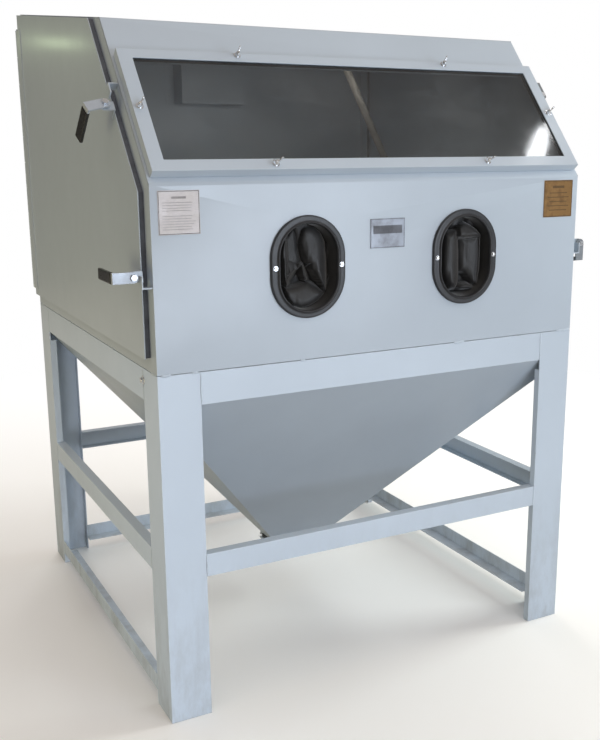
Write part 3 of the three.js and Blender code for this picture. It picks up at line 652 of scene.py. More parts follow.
def sleeve_clamp(side, cx):
    """Band that holds the sleeve on the neck behind the front sheet, with its tightener."""
    gap, band_t = 4.6, 1.6                 # outside the opening, band thickness
    y0, y1 = FRONT + 8.0, FRONT + 20.0
    inner = oval(cx, PORT_Z, PORT_W + gap, PORT_H + gap)
    outer = oval(cx, PORT_Z, PORT_W + gap + band_t, PORT_H + gap + band_t)
    band = rings_mesh([[(x, y, z) for x, z in rim]
                       for rim, y in ((inner, y0), (outer, y0), (outer, y1), (inner, y1))],
                      loop=True)
    at = frame_of((cx, FRONT + 14, PORT_Z + 113.5), (0, 0, 1), (1, 0, 0))
    housing = prism(rectangle(13, 6), at, -4.0, 5.5, rounding=1.2)
    at = frame_of((cx + 10, FRONT + 14, PORT_Z + 116), (1, 0, 0))
    screw = hex_screw(at, flats=7, head=6, dome=0.5)
    shank = lathe([(0.2, -24), (2.4, -24), (2.4, 2), (0.2, 2)], at, 16)
    piece(f"sleeve_clamp_{side}", join(band, housing, screw, shank), "zinc", angle=30)


for side, cx in PORT_X.items():
    port_ring(side, cx)
    sleeve_clamp(side, cx)

# ------------------------------------------------------------------ sleeves folded in the ports
# every fold: outline (x, z from the port's centre, as seen from the front left), depth at its
# edge, depth at its crest, rounding width, slope of the depth along x, slope along z
FOLDS = {
    "left": [
        ([(-22, 88), (-13, 99), (0, 104), (20, 99), (36, 82), (45, 59), (48, 32), (49, -5),
          (49, -38), (48, -66), (42, -57), (25, -33), (6, -8), (-10, 17), (-20, 42), (-25, 65)],
         36, 12, 24, -0.05, 0.10),
        ([(-72, 40), (-64, 75), (-56, 66), (-54, 30), (-53, 0), (-55, -40), (-60, -45),
          (-66, -30), (-70, 5)], 34, 20, 8, 0.0, 0.0),
        ([(-60, 70), (-50, 88), (-36, 96), (-29, 80), (-27, 46), (-20, 16), (-26, 6), (-42, -6),
          (-54, -22), (-57, 20)], 44, 34, 14, 0.15, 0.0),
        ([(-58, -17), (-39, 5), (-21, 13), (-14, 8), (-18, 2), (-36, -5), (-54, -27)],
         36, 24, 6, 0.0, 0.2),
        ([(-20, 12), (-14, 6), (-3, -31), (-10, -35), (-17, -18)], 36, 22, 6, 0.0, 0.0),
        ([(-67, -43), (-56, -47), (-29, -43), (-4, -34), (20, -47), (46, -66), (38, -76),
          (24, -87), (2, -96), (-20, -99), (-43, -91), (-59, -72), (-66, -56)],
         32, 15, 20, 0.0, 0.28),
    ],
    "right": [
        ([(-66, 66), (-50, 72), (-32, 74), (-21, 77), (-16, 66), (-13, 15), (-11, -34),
          (-13, -74), (-21, -84), (-40, -86), (-58, -68), (-68, -34), (-71, 8)],
         42, 10, 30, -0.16, 0.0),
        ([(-20, 77), (-10, 88), (2, 92), (24, 82), (43, 69), (55, 57), (55, 50), (26, 50),
          (0, 49), (-16, 52)], 26, 9, 12, 0.05, 0.45),
        ([(-15, 55), (55, 57), (57, 15), (55, -34), (48, -78), (31, -76), (19, -60), (5, -43),
          (-11, -39), (-14, 15)], 36, 19, 26, -0.22, 0.02),
        ([(46, 57), (55, 57), (57, 15), (55, -34), (48, -78), (43, -78), (48, -26), (49, 15)],
         26, 13, 5, 0.0, 0.0),
        ([(-14, -80), (-2, -71), (17, -69), (33, -76), (46, -87), (31, -91), (12, -88),
          (-5, -87)], 34, 15, 10, 0.0, 0.3),
    ],
}
FOLD_SEED = {"left": 3.0, "right": 11.0}
FOLD_BLEND = 0.35 / 0.9                    # larger values keep the joints of folds crisper
VIEW_X, VIEW_Z = 0.503, 0.124              # a deep point is seen this far left and up, per mm
GRID_X, GRID_Z = -120, -125                # corner of the depth grids
GRID_STEP, CRUMPLE_STEP = 0.75, 4.0


def distance_inside(px, pz, outline):
    """Distance to an outline, positive inside, for arrays of points."""
    nearest = np.full(px.shape, 1e9)
    is_in = np.zeros(px.shape, bool)
    for (x0, z0), (x1, z1) in zip(outline, outline[1:] + outline[:1]):
        ex, ez = x1 - x0, z1 - z0
        t = np.clip(((px - x0) * ex + (pz - z0) * ez) / (ex * ex + ez * ez + 1e-9), 0, 1)
        nearest = np.minimum(nearest, np.hypot(px - x0 - t * ex, pz - z0 - t * ez))
        crossing = (z0 > pz) != (z1 > pz)
        is_in ^= crossing & (px < ex * (pz - z0) / (z1 - z0 + 1e-12) + x0)
    return np.where(is_in, nearest, -nearest)


def sample_grid(grid, x, z, step, ease=False):
    """Bilinear value of a grid; ease rounds off the joints between its cells."""
    gx = np.clip((x - GRID_X) / step, 0, grid.shape[0] - 1.001)
    gz = np.clip((z - GRID_Z) / step, 0, grid.shape[1] - 1.001)
    i, j = gx.astype(int), gz.astype(int)
    a, b = gx - i, gz - j
    if ease:
        a, b = a * a * (3 - 2 * a), b * b * (3 - 2 * b)
    return ((grid[i, j] * (1 - a) + grid[i + 1, j] * a) * (1 - b)
            + (grid[i, j + 1] * (1 - a) + grid[i + 1, j + 1] * a) * b)


def fold_depth(side):
    """Grid of cloth depth: the smooth minimum of a back wall and every fold."""
    x, z = np.meshgrid(np.arange(GRID_X, 121, GRID_STEP), np.arange(GRID_Z, 126, GRID_STEP),
                       indexing="ij")
    wall = 57.0 + 3.0 * np.sin(x * 0.11 + z * 0.05) + 2.0 * np.sin(z * 0.13 - x * 0.04)
    total = np.exp(-wall * FOLD_BLEND)
    for outline, at_edge, at_crest, width, slope_x, slope_z in FOLDS[side]:
        mid_x = sum(p[0] for p in outline) / len(outline)
        mid_z = sum(p[1] for p in outline) / len(outline)
        inside = distance_inside(x, z, outline)
        rise = np.sqrt(np.clip(1 - (1 - np.clip(inside / width, 0, 1)) ** 2, 0, 1))
        depth = (at_edge + (at_crest - at_edge) * rise
                 + slope_x * (x - mid_x) + slope_z * (z - mid_z))
        depth = depth + np.maximum(0, -inside) * 3.4     # falls away steeply outside
        total = total + np.exp(-np.clip(depth, -20, 200) * FOLD_BLEND)
    depth = -np.log(total) / FOLD_BLEND
    # drag lines and small crumples in the coating
    seed = FOLD_SEED[side]
    crumples = np.array([[noise.noise(Vector((a * 0.055 + seed, b * 0.020, 0))) * 1.9
                          + noise.noise(Vector((a * 0.13, b * 0.05 + seed, 5))) * 0.8
                          for b in np.arange(GRID_Z, 129, CRUMPLE_STEP)]
                         for a in np.arange(GRID_X, 124, CRUMPLE_STEP)])
    depth = depth + sample_grid(crumples, x, z, CRUMPLE_STEP, ease=True)
    kernel = (0.06, 0.24, 0.40, 0.24, 0.06)
    for axis in (0, 1):
        depth = sum(np.roll(depth, i - 2, axis) * kernel[i] for i in range(5))
    return depth


def sleeve_folds(side, cx):
    """Cloth filling the port: rings shrinking from the rim to the centre, pushed to depth."""
    grid = fold_depth(side)
    ring_count, half_steps = ((84, 88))
    rim = np.array(oval(0, 0, PORT_W - 0.6, PORT_H - 0.6, half_steps))
    shrink = np.linspace(1, 0, ring_count + 1)[:-1] ** 0.92
    x = rim[None, :, 0] * shrink[:, None]
    z = rim[None, :, 1] * shrink[:, None]
    # walk inwards until the cloth, as seen from the front left, is met
    depth = np.full(x.shape, np.nan)
    for d in np.arange(0, 75, 0.5):
        seen = sample_grid(grid, x - VIEW_X * d, z + VIEW_Z * d, GRID_STEP)
        met = np.isnan(depth) & (seen <= d)
        depth[met] = d - 0.5 + 0.5 * np.clip(1 - (d - seen[met]), 0, 1)
    depth[np.isnan(depth)] = 60
    depth[0, :] = -3.0
    depth[1, :] = np.minimum(depth[1, :], 10.0)
    smoothed = (depth[1:-1] * 2 + np.roll(depth, 1, 1)[1:-1] + np.roll(depth, -1, 1)[1:-1]
                + depth[:-2] + depth[2:]) / 6
    depth[2:-1] = smoothed[1:]
    n = x.shape[1]
    verts, faces = rings_mesh([[(cx + x[i, j], FRONT + depth[i, j], PORT_Z + z[i, j])
                                for j in range(n)] for i in range(ring_count)], caps=False)
    last = (ring_count - 1) * n
    verts.append((cx, FRONT + float(depth[-1].mean()), PORT_Z))
    faces += [(last + j, last + (j + 1) % n, ring_count * n) for j in range(n)]
    o = piece(f"sleeve_folds_{side}", (verts, faces), "cloth", recalc=False)
    fine = o.modifiers.new("fine", "SUBSURF")
    fine.levels = fine.render_levels = 1
    bake(o)


for side, cx in PORT_X.items():
    sleeve_folds(side, cx)

# ------------------------------------------------------------------ gauntlets
# y behind the front sheet, z of the centre, tilt in degrees, half width, half height
SLEEVE_STATIONS = [
    (5, 1111, 0, 79.6, 107.6), (22, 1111, 0, 79.8, 107.8), (44, 1110, 2, 80, 106),
    (66, 1106, 8, 78, 101), (104, 1094, 25, 70, 84), (158, 1052, 56, 65, 64),
    (186, 994, 76, 61, 51), (208, 952, 50, 56, 40), (256, 929, 8, 50, 29), (292, 925, 2, 47, 25),
]
# y behind the front sheet, z of the centre, half width, half height
PALM_STATIONS = [(250, 926, 42, 22), (285, 924, 44, 23), (315, 923, 49, 22), (345, 923, 51, 21),
                 (366, 922, 50, 18), (378, 921, 44, 12)]
# x of the root, length past the palm, sideways spread
FINGERS = [(-36, 62, -7), (-12, 76, -2), (13, 72, 3), (37, 56, 9)]
# x outwards from the port's centre, y behind the front sheet, z
THUMB = [(34, 292, 920), (52, 318, 917), (62, 346, 915), (64, 372, 911.5)]
# lowest z allowed, just over the grate
SLEEVE_LOW, SETTLED_LOW, HAND_LOW, HEM_LOW = 898.5, 897.5, 897.2, 901.5
SLEEVE_SEED = {"left": 1.0, "right": 7.3}
CLOTH = dict(quality=6, mass=0.25, tension_stiffness=22, compression_stiffness=22,
             shear_stiffness=6, bending_stiffness=1.2, vertex_group_mass="held")
CLOTH_FRAMES = 12


def sleeve_station(t):
    last = len(SLEEVE_STATIONS) - 1
    i = min(int(t), last - 1)
    near = [SLEEVE_STATIONS[k] for k in (max(0, i - 1), i, i + 1, min(last, i + 2))]
    return [catmull_rom(*values, t - i) for values in zip(*near)]


def cloth_settle(o, held):
    """A short cloth run between two held ends, whose result becomes the mesh."""
    o.vertex_groups.new(name="held").add(held, 1.0, "REPLACE")
    cloth = o.modifiers.new("cloth", "CLOTH")
    for key, value in CLOTH.items():
        setattr(cloth.settings, key, value)
    cloth.settings.effector_weights.gravity = 0.35
    cloth.point_cache.frame_start, cloth.point_cache.frame_end = 1, CLOTH_FRAMES
    for number in range(1, CLOTH_FRAMES + 1):
        scene.frame_set(number)
    bake(o)
    o.vertex_groups.clear()
    scene.frame_set(1)


def sleeve(side, cx):
    """Arm sleeve from the port down to the hand on the grate."""
    seed = SLEEVE_SEED[side]
    ring_count, n = ((132, 96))
    rings = []
    for i in range(ring_count):
        t = (len(SLEEVE_STATIONS) - 1) * i / (ring_count - 1)
        y, zc, tilt, half_w, half_h = sleeve_station(t)
        tilt = math.radians(tilt)
        # folds fade out towards both held ends
        free = min(1.0, max(0.0, (t - 1.2) / 1.2)) * min(1.0, max(0.0, (8.7 - t) / 0.8))
        squareness = 0.86 if t < 3 else 0.92
        ring = []
        for th in angles(n):
            c, s = math.cos(th), math.sin(th)
            px = half_w * signed_power(c, squareness)
            ph = half_h * signed_power(s, squareness)
            # folds bunch up under the bend and run as long drapes elsewhere
            bunch = max(0.0, -s) * math.exp(-((t - 5.0) / 1.3) ** 2)
            wave = math.sin(t * 7.4 + 1.6 * noise_at(c * 40 + seed * 30, s * 40, t * 10, 0.03)
                            + seed)
            lumps = noise_at(c * 30 + seed * 50, s * 30, t * 9, 0.07)
            drapes = math.sin(th * 9 + 2.2 * lumps + t * 1.4)
            swell = 1 + free * (0.070 * bunch * wave + 0.06 * lumps + 0.018 * drapes)
            px *= swell
            ph *= swell
            ring.append((cx + px, FRONT + y + ph * math.sin(tilt),
                         max(SLEEVE_LOW, zc + ph * math.cos(tilt))))
        rings.append(ring)
    o = piece(f"sleeve_{side}", rings_mesh(rings, caps=False), "cloth")
    first, last = int(ring_count * 0.16), int(ring_count * 0.86)
    cloth_settle(o, [k for k in range(ring_count * n) if k // n < first or k // n > last])
    for vertex in o.data.vertices:
        vertex.co.z = max(vertex.co.z, SETTLED_LOW / 1000)
    wall = o.modifiers.new("wall", "SOLIDIFY")
    wall.thickness = 0.0018
    wall.offset = 0
    bake(o)
    for face in o.data.polygons:
        face.use_smooth = True


def digit(points, radius, taper=0.0):
    """Finger or thumb with a rounded tip."""
    path = smooth_path(points, 4)
    count = len(path)

    def radius_at(i, _angle):
        tip = math.sqrt(max(0.05, 1 - (max(0, i - count + 4) / 4.2) ** 2))
        return radius * tip * (1 - taper * i / count)

    return tube(path, radius_at, 16)


def glove_hand(side, cx):
    """Palm, fingers and an outward thumb grown into one skin."""
    mirror = 1 if side == "left" else -1
    parts = [rings_mesh([[(cx + half_w * signed_power(math.cos(a), 0.8), FRONT + y,
                           z + half_h * signed_power(math.sin(a), 0.8)) for a in angles(28)]
                         for y, z, half_w, half_h in PALM_STATIONS])]
    for root, length, spread in FINGERS:
        parts.append(digit([
            (cx + mirror * root, FRONT + 348, 924),
            (cx + mirror * (root + spread * 0.4), FRONT + 378, 925.5),
            (cx + mirror * (root + spread), FRONT + 366 + length * 0.62, 921),
            (cx + mirror * (root + spread * 1.3), FRONT + 366 + length, 912.5)],
            radius=12.2, taper=0.10))
    parts.append(digit([(cx - mirror * x, FRONT + y, z) for x, y, z in THUMB], radius=13.0))
    hand = piece(f"glove_hand_{side}", join(*parts), "cloth",
                 replaces=(f"glove_{side}",))
    skin = hand.modifiers.new("skin", "REMESH")
    skin.mode = "VOXEL"
    skin.voxel_size = 0.003
    skin.use_smooth_shade = True
    soft = hand.modifiers.new("soft", "SMOOTH")
    soft.factor = 0.6
    soft.iterations = 7
    bake(hand)
    for vertex in hand.data.vertices:
        c = vertex.co * 1000
        crumple = noise_at(c.x, c.y * 1.8, c.z, 0.06) + 0.5 * noise_at(c.x, c.y, c.z, 0.17)
        vertex.co += vertex.normal * 0.0012 * crumple
        vertex.co.z = max(vertex.co.z, HAND_LOW / 1000)


def glove_hem(side, cx):
    """Rolled hem where the sleeve joins the hand."""
    n = 64
    line = [Vector((cx + 48.5 * signed_power(math.cos(a), 0.9), FRONT + 289,
                    max(HEM_LOW, 925 + 26.5 * signed_power(math.sin(a), 0.9))))
            for a in angles(n)]
    back = Vector((0, 1, 0))
    rings = []
    for i, p in enumerate(line):
        out = (line[(i + 1) % n] - line[i - 1]).normalized().cross(back)
        rings.append([p + back * (5 * math.cos(a)) + out * (2.6 * math.sin(a))
                      for a in angles(10)])
    piece(f"glove_hem_{side}", rings_mesh(rings, loop=True), "hem")


for side, cx in PORT_X.items():
    sleeve(side, cx)
    glove_hand(side, cx)
    glove_hem(side, cx)

# ------------------------------------------------------------------ window wing nuts
# x, distance up the leaning face, turn of the wings
WING_NUTS = [(-303, 366, 1.15), (303, 366, 1.0), (-303, 33, 0.35), (303, 33, 0.15),
             (-587, 200, 0.9), (587, 200, 0.5)]
NUT_OUT = 24.8                             # seat of the nuts, off the leaning face
# radius, height
NUT_WASHER = [(0.2, -0.5), (8.6, -0.5), (9.0, 0.3), (8.6, 1.5), (0.2, 1.5)]
NUT_HUB = [(0.2, 1.3), (6.4, 1.3), (6.6, 3.0), (5.2, 6.5), (4.7, 10.0), (4.0, 10.8), (0.2, 10.8)]
NUT_STUD = [(0.2, 9.0), (2.9, 9.0), (2.9, 13.0), (2.4, 13.8), (0.2, 13.8)]
# distance from the axis, height
WING = [(3.0, 3.6), (6.0, 3.2), (10.0, 6.4), (13.6, 10.6), (15.8, 14.6), (16.2, 18.0),
        (14.4, 19.8), (11.8, 19.2), (9.2, 16.0), (6.8, 11.8), (3.6, 9.6)]
WING_CENTRE = (9.5, 11.0)
# place through the wing, scale of its outline
WING_LAYERS = [(-1.5, 0.86), (-1.15, 0.97), (0, 1.0), (1.15, 0.97), (1.5, 0.86)]


def wing_nut(at, turn):
    """Washer, hub, stud end and two cast wings; the local z runs along the stud."""
    c, s = math.cos(turn), math.sin(turn)

    def turned_at(x, y, z):
        return at(x * c - y * s, x * s + y * c, z)

    parts = [lathe(NUT_WASHER, turned_at, 32), lathe(NUT_HUB, turned_at, 28),
             lathe(NUT_STUD, turned_at, 20)]
    mid_x, mid_z = WING_CENTRE
    for sx in (-1, 1):
        parts.append(rings_mesh([[turned_at(sx * (mid_x + (a - mid_x) * scale), y,
                                            mid_z + (b - mid_z) * scale) for a, b in WING]
                                 for y, scale in WING_LAYERS]))
    return join(*parts)


nuts = []
for x, up, turn in WING_NUTS:
    seat = Vector((x, FRONT, BEND_Z)) + FACE_UP * up + FACE_OUT * NUT_OUT
    nuts.append(wing_nut(frame_of(seat, FACE_OUT, (1, 0, 0)), turn))
piece("window_wing_nuts", join(*nuts), "bright", angle=42)


# ------------------------------------------------------------------ welds and stand bolt
def bead(start, end, r, out, flat=0.55, seed=0.0):
    """Weld bead: overlapping ripples, low and lumpy, on a surface whose normal is out."""
    start, end, out = Vector(start), Vector(end), Vector(out).normalized()
    length = (end - start).length
    along = (end - start).normalized()
    side = along.cross(out).normalized()
    steps = max(6, int(length / 1.3))
    rings = []
    for i in range(steps + 1):
        u = i / steps
        taper = math.sqrt(max(0.02, 1 - abs(2 * u - 1) ** 6))
        ripple = (1 + 0.10 * math.sin(u * length * 1.9 + seed)
                  + 0.22 * noise_at(u * length + seed * 17, seed * 5, 0, 0.12))
        wander = 0.5 * r * noise_at(u * length, seed * 9, 3, 0.06)
        centre = start + along * (length * u) + side * wander
        rings.append([centre + side * (r * taper * ripple * math.cos(a))
                      + out * (r * flat * taper * ripple * math.sin(a)) for a in angles(12)])
    return rings_mesh(rings)


def seam_tacks():
    """Short beads round the top of the stand."""
    z = STAND_TOP + 0.75
    off = 0.3                              # outside the stand's faces
    # start and end of each tack: x along the front and back, y along the sides
    front = ((-600, -577), (-527, -512), (-247, -233), (208, 242), (560, 606))
    sides = ((-596, -560), (-252, -232), (190, 212), (560, 596))
    back = ((-590, -560), (-210, -186), (190, 214), (560, 590))
    parts = []
    for i, (x0, x1) in enumerate(front):
        parts.append(bead((x0, FRONT - off, z), (x1, FRONT - off, z), 3.2, (0, -1, 0.2),
                          seed=i * 2.3))
    for i, (y0, y1) in enumerate(sides):
        for sx, seed in ((-1, i * 1.7 + 5), (1, i * 1.9 + 8)):
            x = sx * (HALF_W + off)
            parts.append(bead((x, y0, z), (x, y1, z), 3.0, (sx, 0, 0.2), seed=seed))
    for i, (x0, x1) in enumerate(back):
        parts.append(bead((x0, BACK + off, z), (x1, BACK + off, z), 3.0, (0, 1, 0.2),
                          seed=i * 1.3 + 2))
    piece("seam_tacks", join(*parts), "weld")


def frame_welds():
    """Upright runs where the rails meet the legs."""
    upper, low = ((371, 427), (805, 881)), (37, 78)      # z of the ends of each run
    joint_x, joint_y = HALF_W - 104.6, BACK - 107.6
    off = 0.1
    parts = []

    def upright(x, y, span, out, seed):
        parts.append(bead((x, y, span[0]), (x, y, span[1]), 2.0, out, flat=0.5, seed=seed))

    for sx in (-1, 1):
        for span in upper:
            upright(sx * joint_x, FRONT - off, span, (0, -1, 0), span[0] * 0.01 + sx)
            upright(sx * joint_x, BACK + off, span, (0, 1, 0), span[0] * 0.02 + sx)
        for sy in (-1, 1):
            for span in (*upper, low):
                upright(sx * (HALF_W + off), sy * joint_y, span, (sx, 0, 0),
                        span[0] * 0.03 + sy)
        upright(sx * joint_x, BACK + off, low, (0, 1, 0), 4 + sx)
    piece("frame_welds", join(*parts), "weld")


seam_tacks()
frame_welds()
bolt_at = frame_of((-HALF_W - 0.2, -499.4, 854.6), (-1, 0, 0))
piece("stand_bolt", hex_screw(bolt_at, flats=12.7, head=6.0, washer_r=10.5, washer=1.8, turn=0.3,
                              dome=0.6), "bright", angle=30)

# ------------------------------------------------------------------ gun hose and its unions
HOSE_PATH = [(393.6, 0, 917), (412, 0, 917.6), (441, 3, 943), (452, 2, 1030), (430, -2, 1160),
             (394, -3, 1270), (354, -3, 1348), (284, -3, 1481), (215, -3, 1614), (178, -3, 1688),
             (167, -3, 1712)]
# radius, height
UPPER_UNION = [(0.2, 8.5), (14.6, 8.5), (14.6, 12), (13.2, 13.2), (13.2, 26), (12.2, 27.5),
               (0.2, 27.5)]
GUN_UNION = [(0.2, -1.5), (12.9, -1.5), (13.3, 0.5), (13.3, 5), (12.6, 6), (13.3, 7), (13.3, 12),
             (12.6, 13), (12.6, 17), (0.2, 17)]

piece("hose_sleeve", tube(smooth_path(HOSE_PATH, 5.0),
                          lambda i, a: 11.0 + 0.25 * math.sin(a * 3 + i * 0.55), 28),
      "hose", replaces=("gun_hose",))
union_at = frame_of((167, -3, 1719), (0, 0, -1))
piece("hose_unions", join(prism(hexagon(34, 0.2), union_at, 0.2, 9.0, rounding=0.8),
                          lathe(UPPER_UNION, union_at, 32),
                          lathe(GUN_UNION, frame_of((392.5, 0, GUN_Z), (1, 0, 0)), 36)),
      "brass", angle=30)

# ------------------------------------------------------------------ exhaust collar
# radius, y behind the rear sheet
SPIGOT_PROFILE = [
    (72.5, -30), (75, -30), (75, -6), (75, 0.35), (95, 0.35), (95.4, 0.8), (95, 2.8),
    (78.2, 2.8), (76.2, 3.4), (75, 5.0), (75, 36.5), (75.8, 38.2), (77.2, 39.4), (77.9, 41.5),
    (77.2, 43.6), (75.8, 44.8), (75, 46.5), (75, 49.6), (74.4, 50), (73.1, 50), (72.5, 49.6),
    (72.5, 46), (73.4, 44.4), (74.9, 43.1), (75.3, 41.5), (74.9, 39.9), (73.4, 38.4), (72.5, 37),
]
# radius, height
RIVET = [(0.2, -0.4), (4.2, -0.4), (4.2, 0.5), (3.4, 1.7), (1.9, 2.3), (0.2, 2.5)]
RIVET_COUNT, RIVET_CIRCLE = 8, 86
# x, y from the rear sheet
BAFFLE = [(-150, -4.4), (-120, -4.4), (-112, -62), (112, -62), (120, -4.4), (150, -4.4),
          (150, -2.9), (118.4, -2.9), (110.6, -60.5), (-110.6, -60.5), (-118.4, -2.9),
          (-150, -2.9)]

piece("exhaust_spigot",
      rings_mesh([[(r * math.cos(a), BACK + y, EXHAUST_Z + r * math.sin(a)) for a in angles(112)]
                  for r, y in SPIGOT_PROFILE], loop=True),
      "paint", angle=40, replaces=("exhaust_collar",))
rivets = []
for k in range(RIVET_COUNT):
    a = (0.5 + k) * 2 * math.pi / RIVET_COUNT
    seat = (RIVET_CIRCLE * math.cos(a), BACK + 2.7, EXHAUST_Z + RIVET_CIRCLE * math.sin(a))
    rivets.append(lathe(RIVET, frame_of(seat, (0, 1, 0)), 20))
piece("exhaust_rivets", join(*rivets), "zinc")
# folded baffle standing off the rear sheet inside, open at its top and bottom edges
parts = [prism(BAFFLE, frame_of((0, BACK, EXHAUST_Z), (0, 0, 1), (1, 0, 0)), -112, 104)]
for x in (-135, 135):
    for z in (EXHAUST_Z - 84, EXHAUST_Z + 76):
        parts.append(hex_screw(frame_of((x, BACK - 4.4, z), (0, -1, 0)), flats=8, head=3.6,
                               washer_r=6.0, washer=0.9, turn=z))
piece("exhaust_baffle", join(*parts), "paint", angle=30)


# ------------------------------------------------------------------ lamp
def lamp():
    """Bulging diffuser under the work light, and screws on its front and back."""
    x0, x1, y0, y1, z0, _ = centred_box("work_light")
    mid_y, half_d = (y0 + y1) / 2, (y1 - y0) / 2 - 7
    inset, bulge = 9, 13.5
    rings = []
    for i in range(25):
        u = i / 24
        swell = math.sqrt(max(0.0, 1 - abs(2 * u - 1) ** 10))
        x = x0 + inset + (x1 - x0 - 2 * inset) * u
        arc = [math.pi * j / 20 for j in range(21)]
        ring = [(x, mid_y + half_d * swell * math.cos(a),
                 z0 + 0.8 - bulge * swell * math.sin(a) ** 0.8) for a in arc]
        rings.append(ring + [(x, mid_y - half_d * swell, z0 + 2.0),
                             (x, mid_y + half_d * swell, z0 + 2.0)])
    piece("lamp_diffuser", rings_mesh(rings), "diffuser", angle=60)
    screws = []
    for x in (x0 + 26, x1 - 26):
        for y, out in ((y0 - 0.2, -1), (y1 + 0.2, 1)):
            screws.append(hex_screw(frame_of((x, y, z0 + 22), (0, out, 0)), flats=7, head=3.4,
                                    washer_r=5.5, washer=0.9, turn=x))
    piece("lamp_screws", join(*screws), "zinc", angle=30)


lamp()

# ------------------------------------------------------------------ blast gun
# the gun lies along x and points left; profiles are x, radius
GUN_BODY = [(257, 6), (257, 15.5), (258.5, 17.6), (262, 18.6), (276, 18.8), (277, 18.0),
            (280, 18.0), (281, 18.8), (340, 18.8), (352, 18.4), (364, 17.2), (370.5, 14.2),
            (372, 12.8), (389, 12.8), (390.8, 12.2), (391, 5)]
GUN_NUT = [(234, 8), (234, 15.4), (235.6, 17.0), (238, 17.4), (254, 17.4), (255.6, 16.8),
           (256.8, 15.0), (256.8, 6)]
GUN_NOZZLE = [(206, 3.9), (191.4, 4.1), (190.2, 5.0), (190, 7.8), (190.8, 9.2), (193, 9.9),
              (232, 10.0), (235, 10.0), (235, 4.0)]
TRIGGER_PATH = [(322, -15, GUN_Z), (316, -30, GUN_Z - 1), (318, -48, GUN_Z - 2),
                (312, -62, GUN_Z - 3)]


def turned(profile, knurl=0.0):
    """Profile turned about the gun's axis; a knurl raises 20 ridges where r is over 15."""
    rings = []
    for x, r in profile:
        ring = []
        for a in angles(60):
            ridged = r + (knurl * (0.5 + 0.5 * math.cos(20 * a)) if r > 15 else 0)
            ring.append((x, ridged * math.cos(a), GUN_Z + ridged * math.sin(a)))
        rings.append(ring)
    return rings_mesh(rings)


def gun_grip():
    """Grooved handle running forward from the body, with a rounded end."""
    length = 100
    rings = []
    for i in range(46):
        u = i / 45
        groove = 0.9 * math.sin(u * 26) * (1 if 0.15 < u < 0.85 else 0)
        end = math.sqrt(max(0.03, 1 - max(0, (u - 0.93) / 0.07) ** 2))
        half_x, half_z = (15.6 + groove) * end, (12.4 + 0.4 * groove) * end
        mid_x = 344 + 5 * u * u
        rings.append([(mid_x + half_x * signed_power(math.cos(a), 0.85), -12 - length * u,
                       GUN_Z - 1.5 + half_z * math.sin(a)) for a in angles(32)])
    piece("gun_grip", rings_mesh(rings), "vinyl")


piece("gun_body", turned(GUN_BODY), "cast", angle=35, replaces=("blast_gun",))
piece("gun_nozzle_nut", turned(GUN_NUT, knurl=1.3), "zinc", angle=50)
piece("gun_nozzle", turned(GUN_NOZZLE), "ceramic", angle=50)
gun_grip()
piece("gun_trigger", tube(smooth_path(TRIGGER_PATH, 2.0),
                          lambda i, a: 3.6 + 1.2 * abs(math.cos(a)), 16), "zinc")


# ------------------------------------------------------------------ plates
# plain rims and ruled lines, no lettering
RIM_PROUD, BLOCK_PROUD, RULE_PROUD = 0.12, 0.1, 0.08
SUNK = 0.05


def bar(x, z, width, height, face_y, proud):
    """Flat bar centred at x, z, standing forward of a plate's face."""
    at = frame_of((x, face_y + SUNK, z), (0, -1, 0), (1, 0, 0))
    return prism(rectangle(width / 2, height / 2), at, 0, SUNK + proud)


def rim(box, inset, width):
    """Four strips round a plate, the bottom and top ones full length."""
    x0, x1, y, _, z0, z1 = box
    x0, x1, z0, z1 = x0 + inset, x1 - inset, z0 + inset, z1 - inset
    strips = ((x0, x1, z0, z0 + width), (x0, x1, z1 - width, z1),
              (x0, x0 + width, z0 + width, z1 - width), (x1 - width, x1, z0 + width, z1 - width))
    return [bar((a + b) / 2, (c + d) / 2, b - a, d - c, y, RIM_PROUD) for a, b, c, d in strips]


def left_plate():
    box = centred_box("plate_left")
    x0, x1, y, _, _, z1 = box
    piece("label_rim_left", join(*rim(box, 1.2, 1.5)), "ink", angle=30)
    lines = [bar((x0 + x1) / 2, z1 - 16, 34, 5.0, y, BLOCK_PROUD)]
    rnd = random.Random(5)
    for k in range(11):
        if k == 4:                         # a gap between two paragraphs
            continue
        width = (x1 - x0) * (0.80 - 0.12 * rnd.random())
        lines.append(bar(x0 + 10 + width / 2, z1 - 27 - k * 5.9, width, 1.3, y, RULE_PROUD))
    piece("label_rules_left", join(*lines), "faint", angle=30)


def right_plate():
    box = centred_box("plate_right")
    x0, x1, y, _, _, z1 = box
    piece("label_rim_right", join(*rim(box, 1.0, 2.0)), "dark_copper", angle=30)
    lines = [bar((x0 + x1) / 2, z1 - 18, 40, 6.5, y, BLOCK_PROUD)]
    for k in range(5):
        width = (x1 - x0) * (0.74 if k % 2 else 0.62)
        lines.append(bar((x0 + x1) / 2, z1 - 34 - k * 11.5, width, 2.2, y, RULE_PROUD))
    piece("label_rules_right", join(*lines), "dark_copper", angle=30)


def centre_plate():
    box = centred_box("plate_centre")
    x0, x1, y, _, z0, z1 = box
    block = bar((x0 + x1) / 2, (z0 + z1) / 2 + 9, 84, 20, y, BLOCK_PROUD)
    piece("label_rim_centre", join(*rim(box, 1.0, 1.2), block), "etched", angle=30)


left_plate()
right_plate()
centre_plate()


